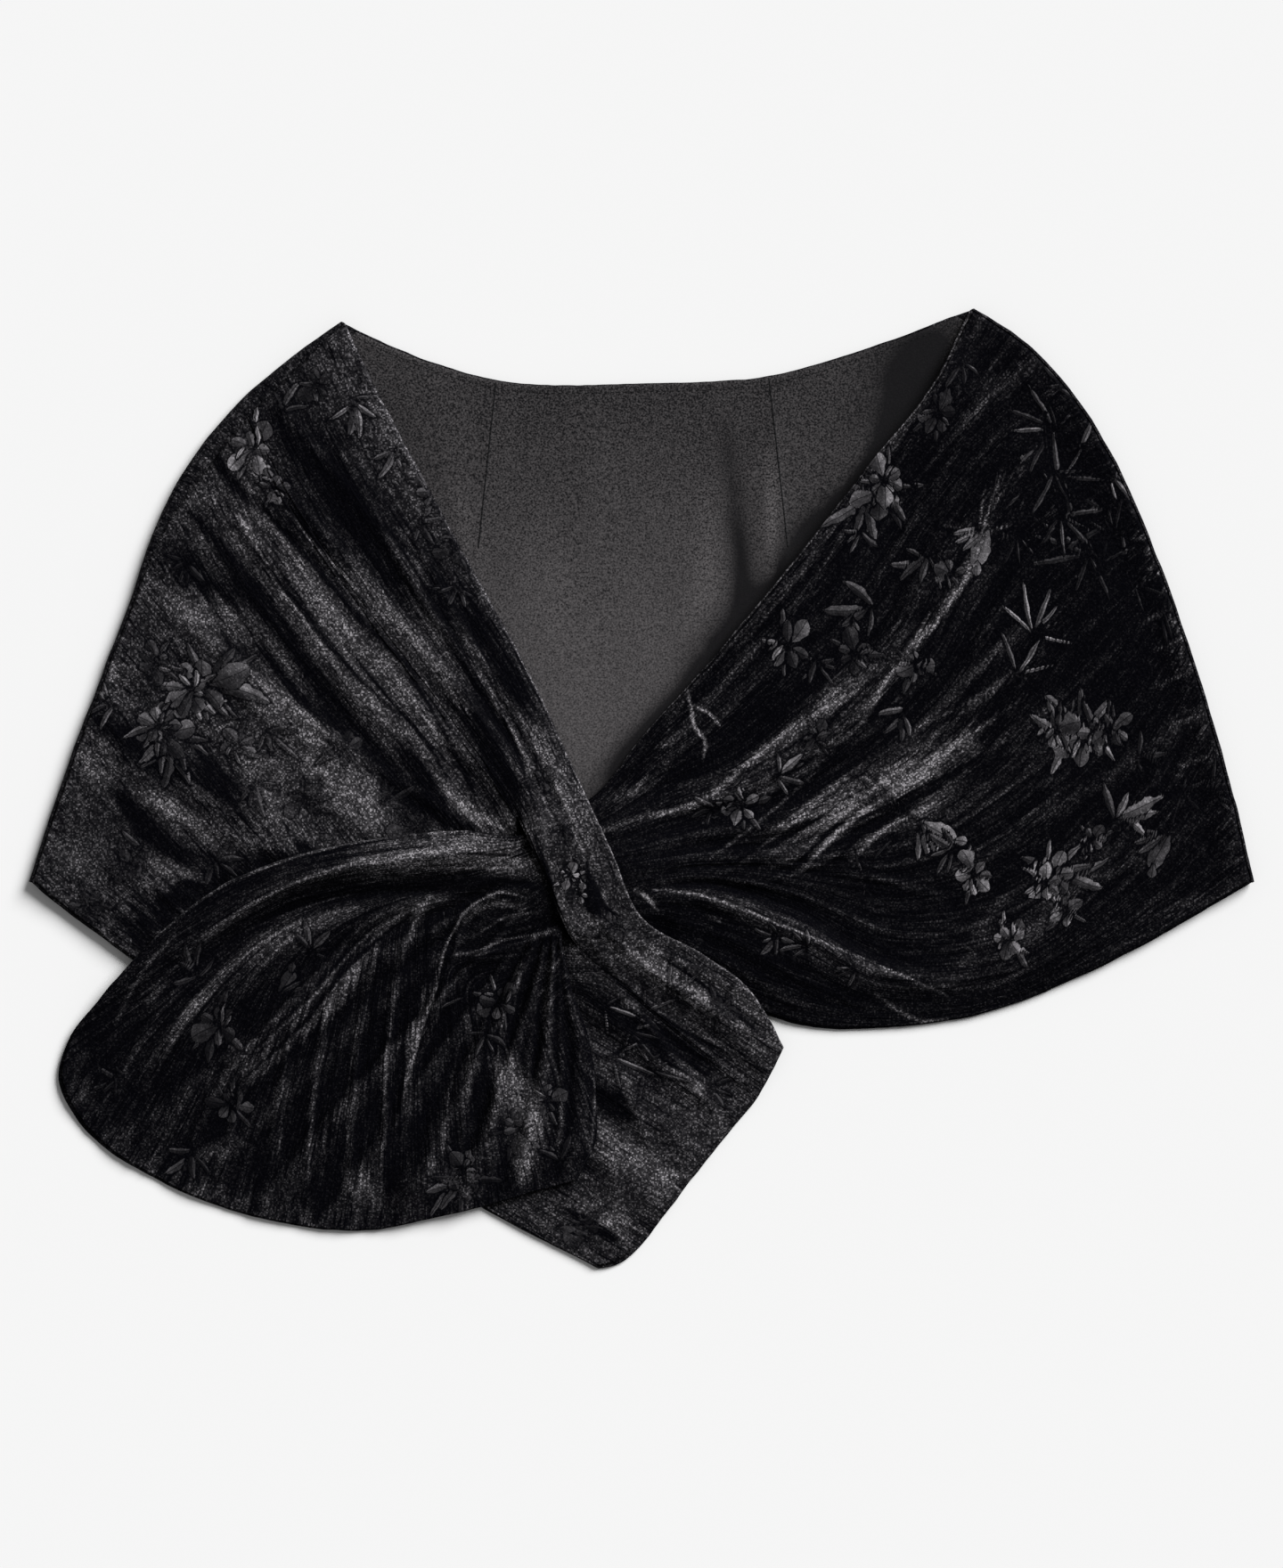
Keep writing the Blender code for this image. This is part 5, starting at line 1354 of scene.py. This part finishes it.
def make_back_panel(shapes):
    """The back, flat on the surface, with both of its sides folded up round to the side seams."""
    v = graded(0, 1, 120, near_start=1 / 320, near_stop=1 / 320)
    u = np.linspace(0, 1, 181)
    flat = back_plan(u, v)
    middle = [np.column_stack((flat[:, k], np.zeros(len(v)))) for k in range(3, len(u) - 3)]
    points = np.stack(side_wrap(LEFT_SIDE, v) + middle + side_wrap(RIGHT_SIDE, v)[::-1], axis=1)
    points[..., :2] += swaying(points[..., :2])
    rows, columns = points.shape[:2]
    mesh = bpy.data.meshes.new("velvet_back_panel")
    mesh.from_pydata((points.reshape(-1, 3) * MM).tolist(), [], grid_faces(rows, columns).tolist())
    flow = np.meshgrid(np.linspace(0, BACK_CLOTH[0], columns), v * BACK_CLOTH[1])
    add_flow(mesh, np.column_stack([part.ravel() for part in flow]))
    plan = points[..., :2]
    values = velvet_values(pattern_values(shapes, plan), plan, np.zeros((rows, columns)), BACK_BASE)
    values["pressed"][:, 0] = 1.0
    add_values(mesh, values)
    mesh.shade_smooth()
    made = placed("velvet_back_panel", mesh)
    wall = made.modifiers.new("wall", "SOLIDIFY")
    wall.thickness = BACK_WALL * MM
    wall.offset = -1
    return made


def surface_height(tree, x, y):
    """Height in metres of the cloth at a place, or None beside it."""
    hit = tree.ray_cast(Vector((x * MM, y * MM, 0.1)), Vector((0, 0, -1)))[0]
    return hit.z if hit is not None else None


def stitch_row(made, tree, line, pitch, length, rise):
    """Adds one stitch after another along a line, each a short flat bead lying on the cloth below it."""
    total = np.hypot(*np.diff(line, axis=0).T).sum()
    for k in range(int(total / pitch)):
        ends = along(line, np.array([k * pitch, k * pitch + length]) / total)
        heights = [surface_height(tree, *end) for end in ends]
        if None in heights:
            continue
        start, stop = (Vector((*(end * MM), height + rise * MM)) for end, height in zip(ends, heights))
        made.append((start, stop))


def make_stitches(name, rows, thickness, material, node):
    """One mesh of thread: each stitch is a six-sided bead that dips into the cloth at both ends."""
    points, faces = [], []
    for start, stop in rows:
        heading = (stop - start).normalized()
        side = heading.cross(Vector((0, 0, 1))).normalized()
        up = side.cross(heading)
        first = len(points)
        for share, size, sink in BEAD_RINGS:
            middle = start.lerp(stop, share) - up * sink * thickness * MM
            for k in range(BEAD_SIDES):
                angle = 2 * math.pi / BEAD_SIDES * k
                offset = side * math.cos(angle) + up * math.sin(angle) * 0.6
                points.append(middle + offset * 0.5 * thickness * size * MM)
        last = len(points) - BEAD_SIDES
        for near in range(first, last, BEAD_SIDES):
            far = near + BEAD_SIDES
            faces += [(near + k, near + (k + 1) % BEAD_SIDES, far + (k + 1) % BEAD_SIDES, far + k)
                      for k in range(BEAD_SIDES)]
        faces.append(tuple(reversed(range(first, first + BEAD_SIDES))))
        faces.append(tuple(range(last, last + BEAD_SIDES)))
    mesh = bpy.data.meshes.new(name)
    mesh.from_pydata(points, [], faces)
    mesh.shade_smooth()
    return dressed(placed(name, mesh), node, "lining", material)


def sew(lining):
    """The understitching along the neckline, and along both darts a dark line of overlapping beads: the
    dart's seam, standing in also for the shade in its fold.
    """
    tree = surface(lining.data)
    under = []
    neck = along(NECKLINE, np.linspace(0.01, 0.99, 60)) - (0, UNDERSTITCH_IN)
    stitch_row(under, tree, neck, *UNDERSTITCH)
    looks = {"Base Color": hex_colour("#0e0e10"), "Roughness": 0.6, "Specular IOR Level": 0.15}
    thread = new_material("polyester_thread_and_seam_shade", looks)[0]
    make_stitches("understitching", under, UNDERSTITCH_THREAD, thread, "back_lining")
    seams = []
    # along the darts the dark beads stand in also for the shade in each dart's fold
    for x0, y0, x1, y1 in DARTS:
        stitch_row(seams, tree, np.array(((x0, y0 - 1), (x1, y1))), *DART_SEAM_AND_SHADE_BEADS)
    make_stitches("dart_seam_and_shade_lines", seams, DART_SEAM_AND_SHADE_THICKNESS, thread, "back_lining")


def make_stage():
    bpy.ops.mesh.primitive_plane_add(size=FLOOR_SIZE, location=(0, 0, FLOOR_Z))
    floor = bpy.context.object
    floor.name = "studio_floor"
    paper = {"Base Color": hex_colour("#f0f0f0"), "Roughness": 0.9, "Specular IOR Level": 0.0}
    floor.data.materials.append(new_material("matt_white_paper", paper)[0])


def make_lights():
    """A wide soft sun from the upper right, and even light from all round."""
    data = bpy.data.lights.new("key", "SUN")
    data.energy = SUN_STRENGTH
    data.angle = SUN_WIDTH
    placed("key", data).rotation_euler = Vector(SUN_FROM).to_track_quat("Z", "Y").to_euler()
    world = bpy.data.worlds.new("studio")
    world.use_nodes = True
    sky = world.node_tree.nodes["Background"]
    sky.inputs["Color"].default_value = (1, 1, 1, 1)
    sky.inputs["Strength"].default_value = WORLD_STRENGTH
    bpy.context.scene.world = world
    bpy.context.scene.view_settings.view_transform = "Standard"


def make_camera():
    data = bpy.data.cameras.new("camera")
    data.sensor_fit = "HORIZONTAL"
    data.lens = data.sensor_width * CAMERA_HEIGHT / (FRAME_PX[0] * MM_PER_PX * MM)
    made = placed("camera", data)
    made.location = (0, VIEW_MIDDLE_Y * MM, CAMERA_HEIGHT)
    bpy.context.scene.camera = made


def main():
    bpy.ops.object.select_all(action="DESELECT")
    velvet, satin = pressed_velvet(), satin_lining()
    shapes = pattern_shapes()
    back = dressed(make_back_panel(shapes), "back_panel", "velvet", velvet)
    lining = dressed(make_back_lining(), "back_lining", "lining", satin, satin)
    pulled = dressed(make_pulled_front(shapes), "pulled_front", "velvet", velvet, satin)
    slit = dressed(make_slit_front(shapes), "slit_front", "velvet", velvet, satin)
    fan = dressed(make_pulled_end(shapes), "pulled_end", "velvet", velvet, satin)
    sew(lining)
    make_stage()
    make_lights()
    make_camera()


main()
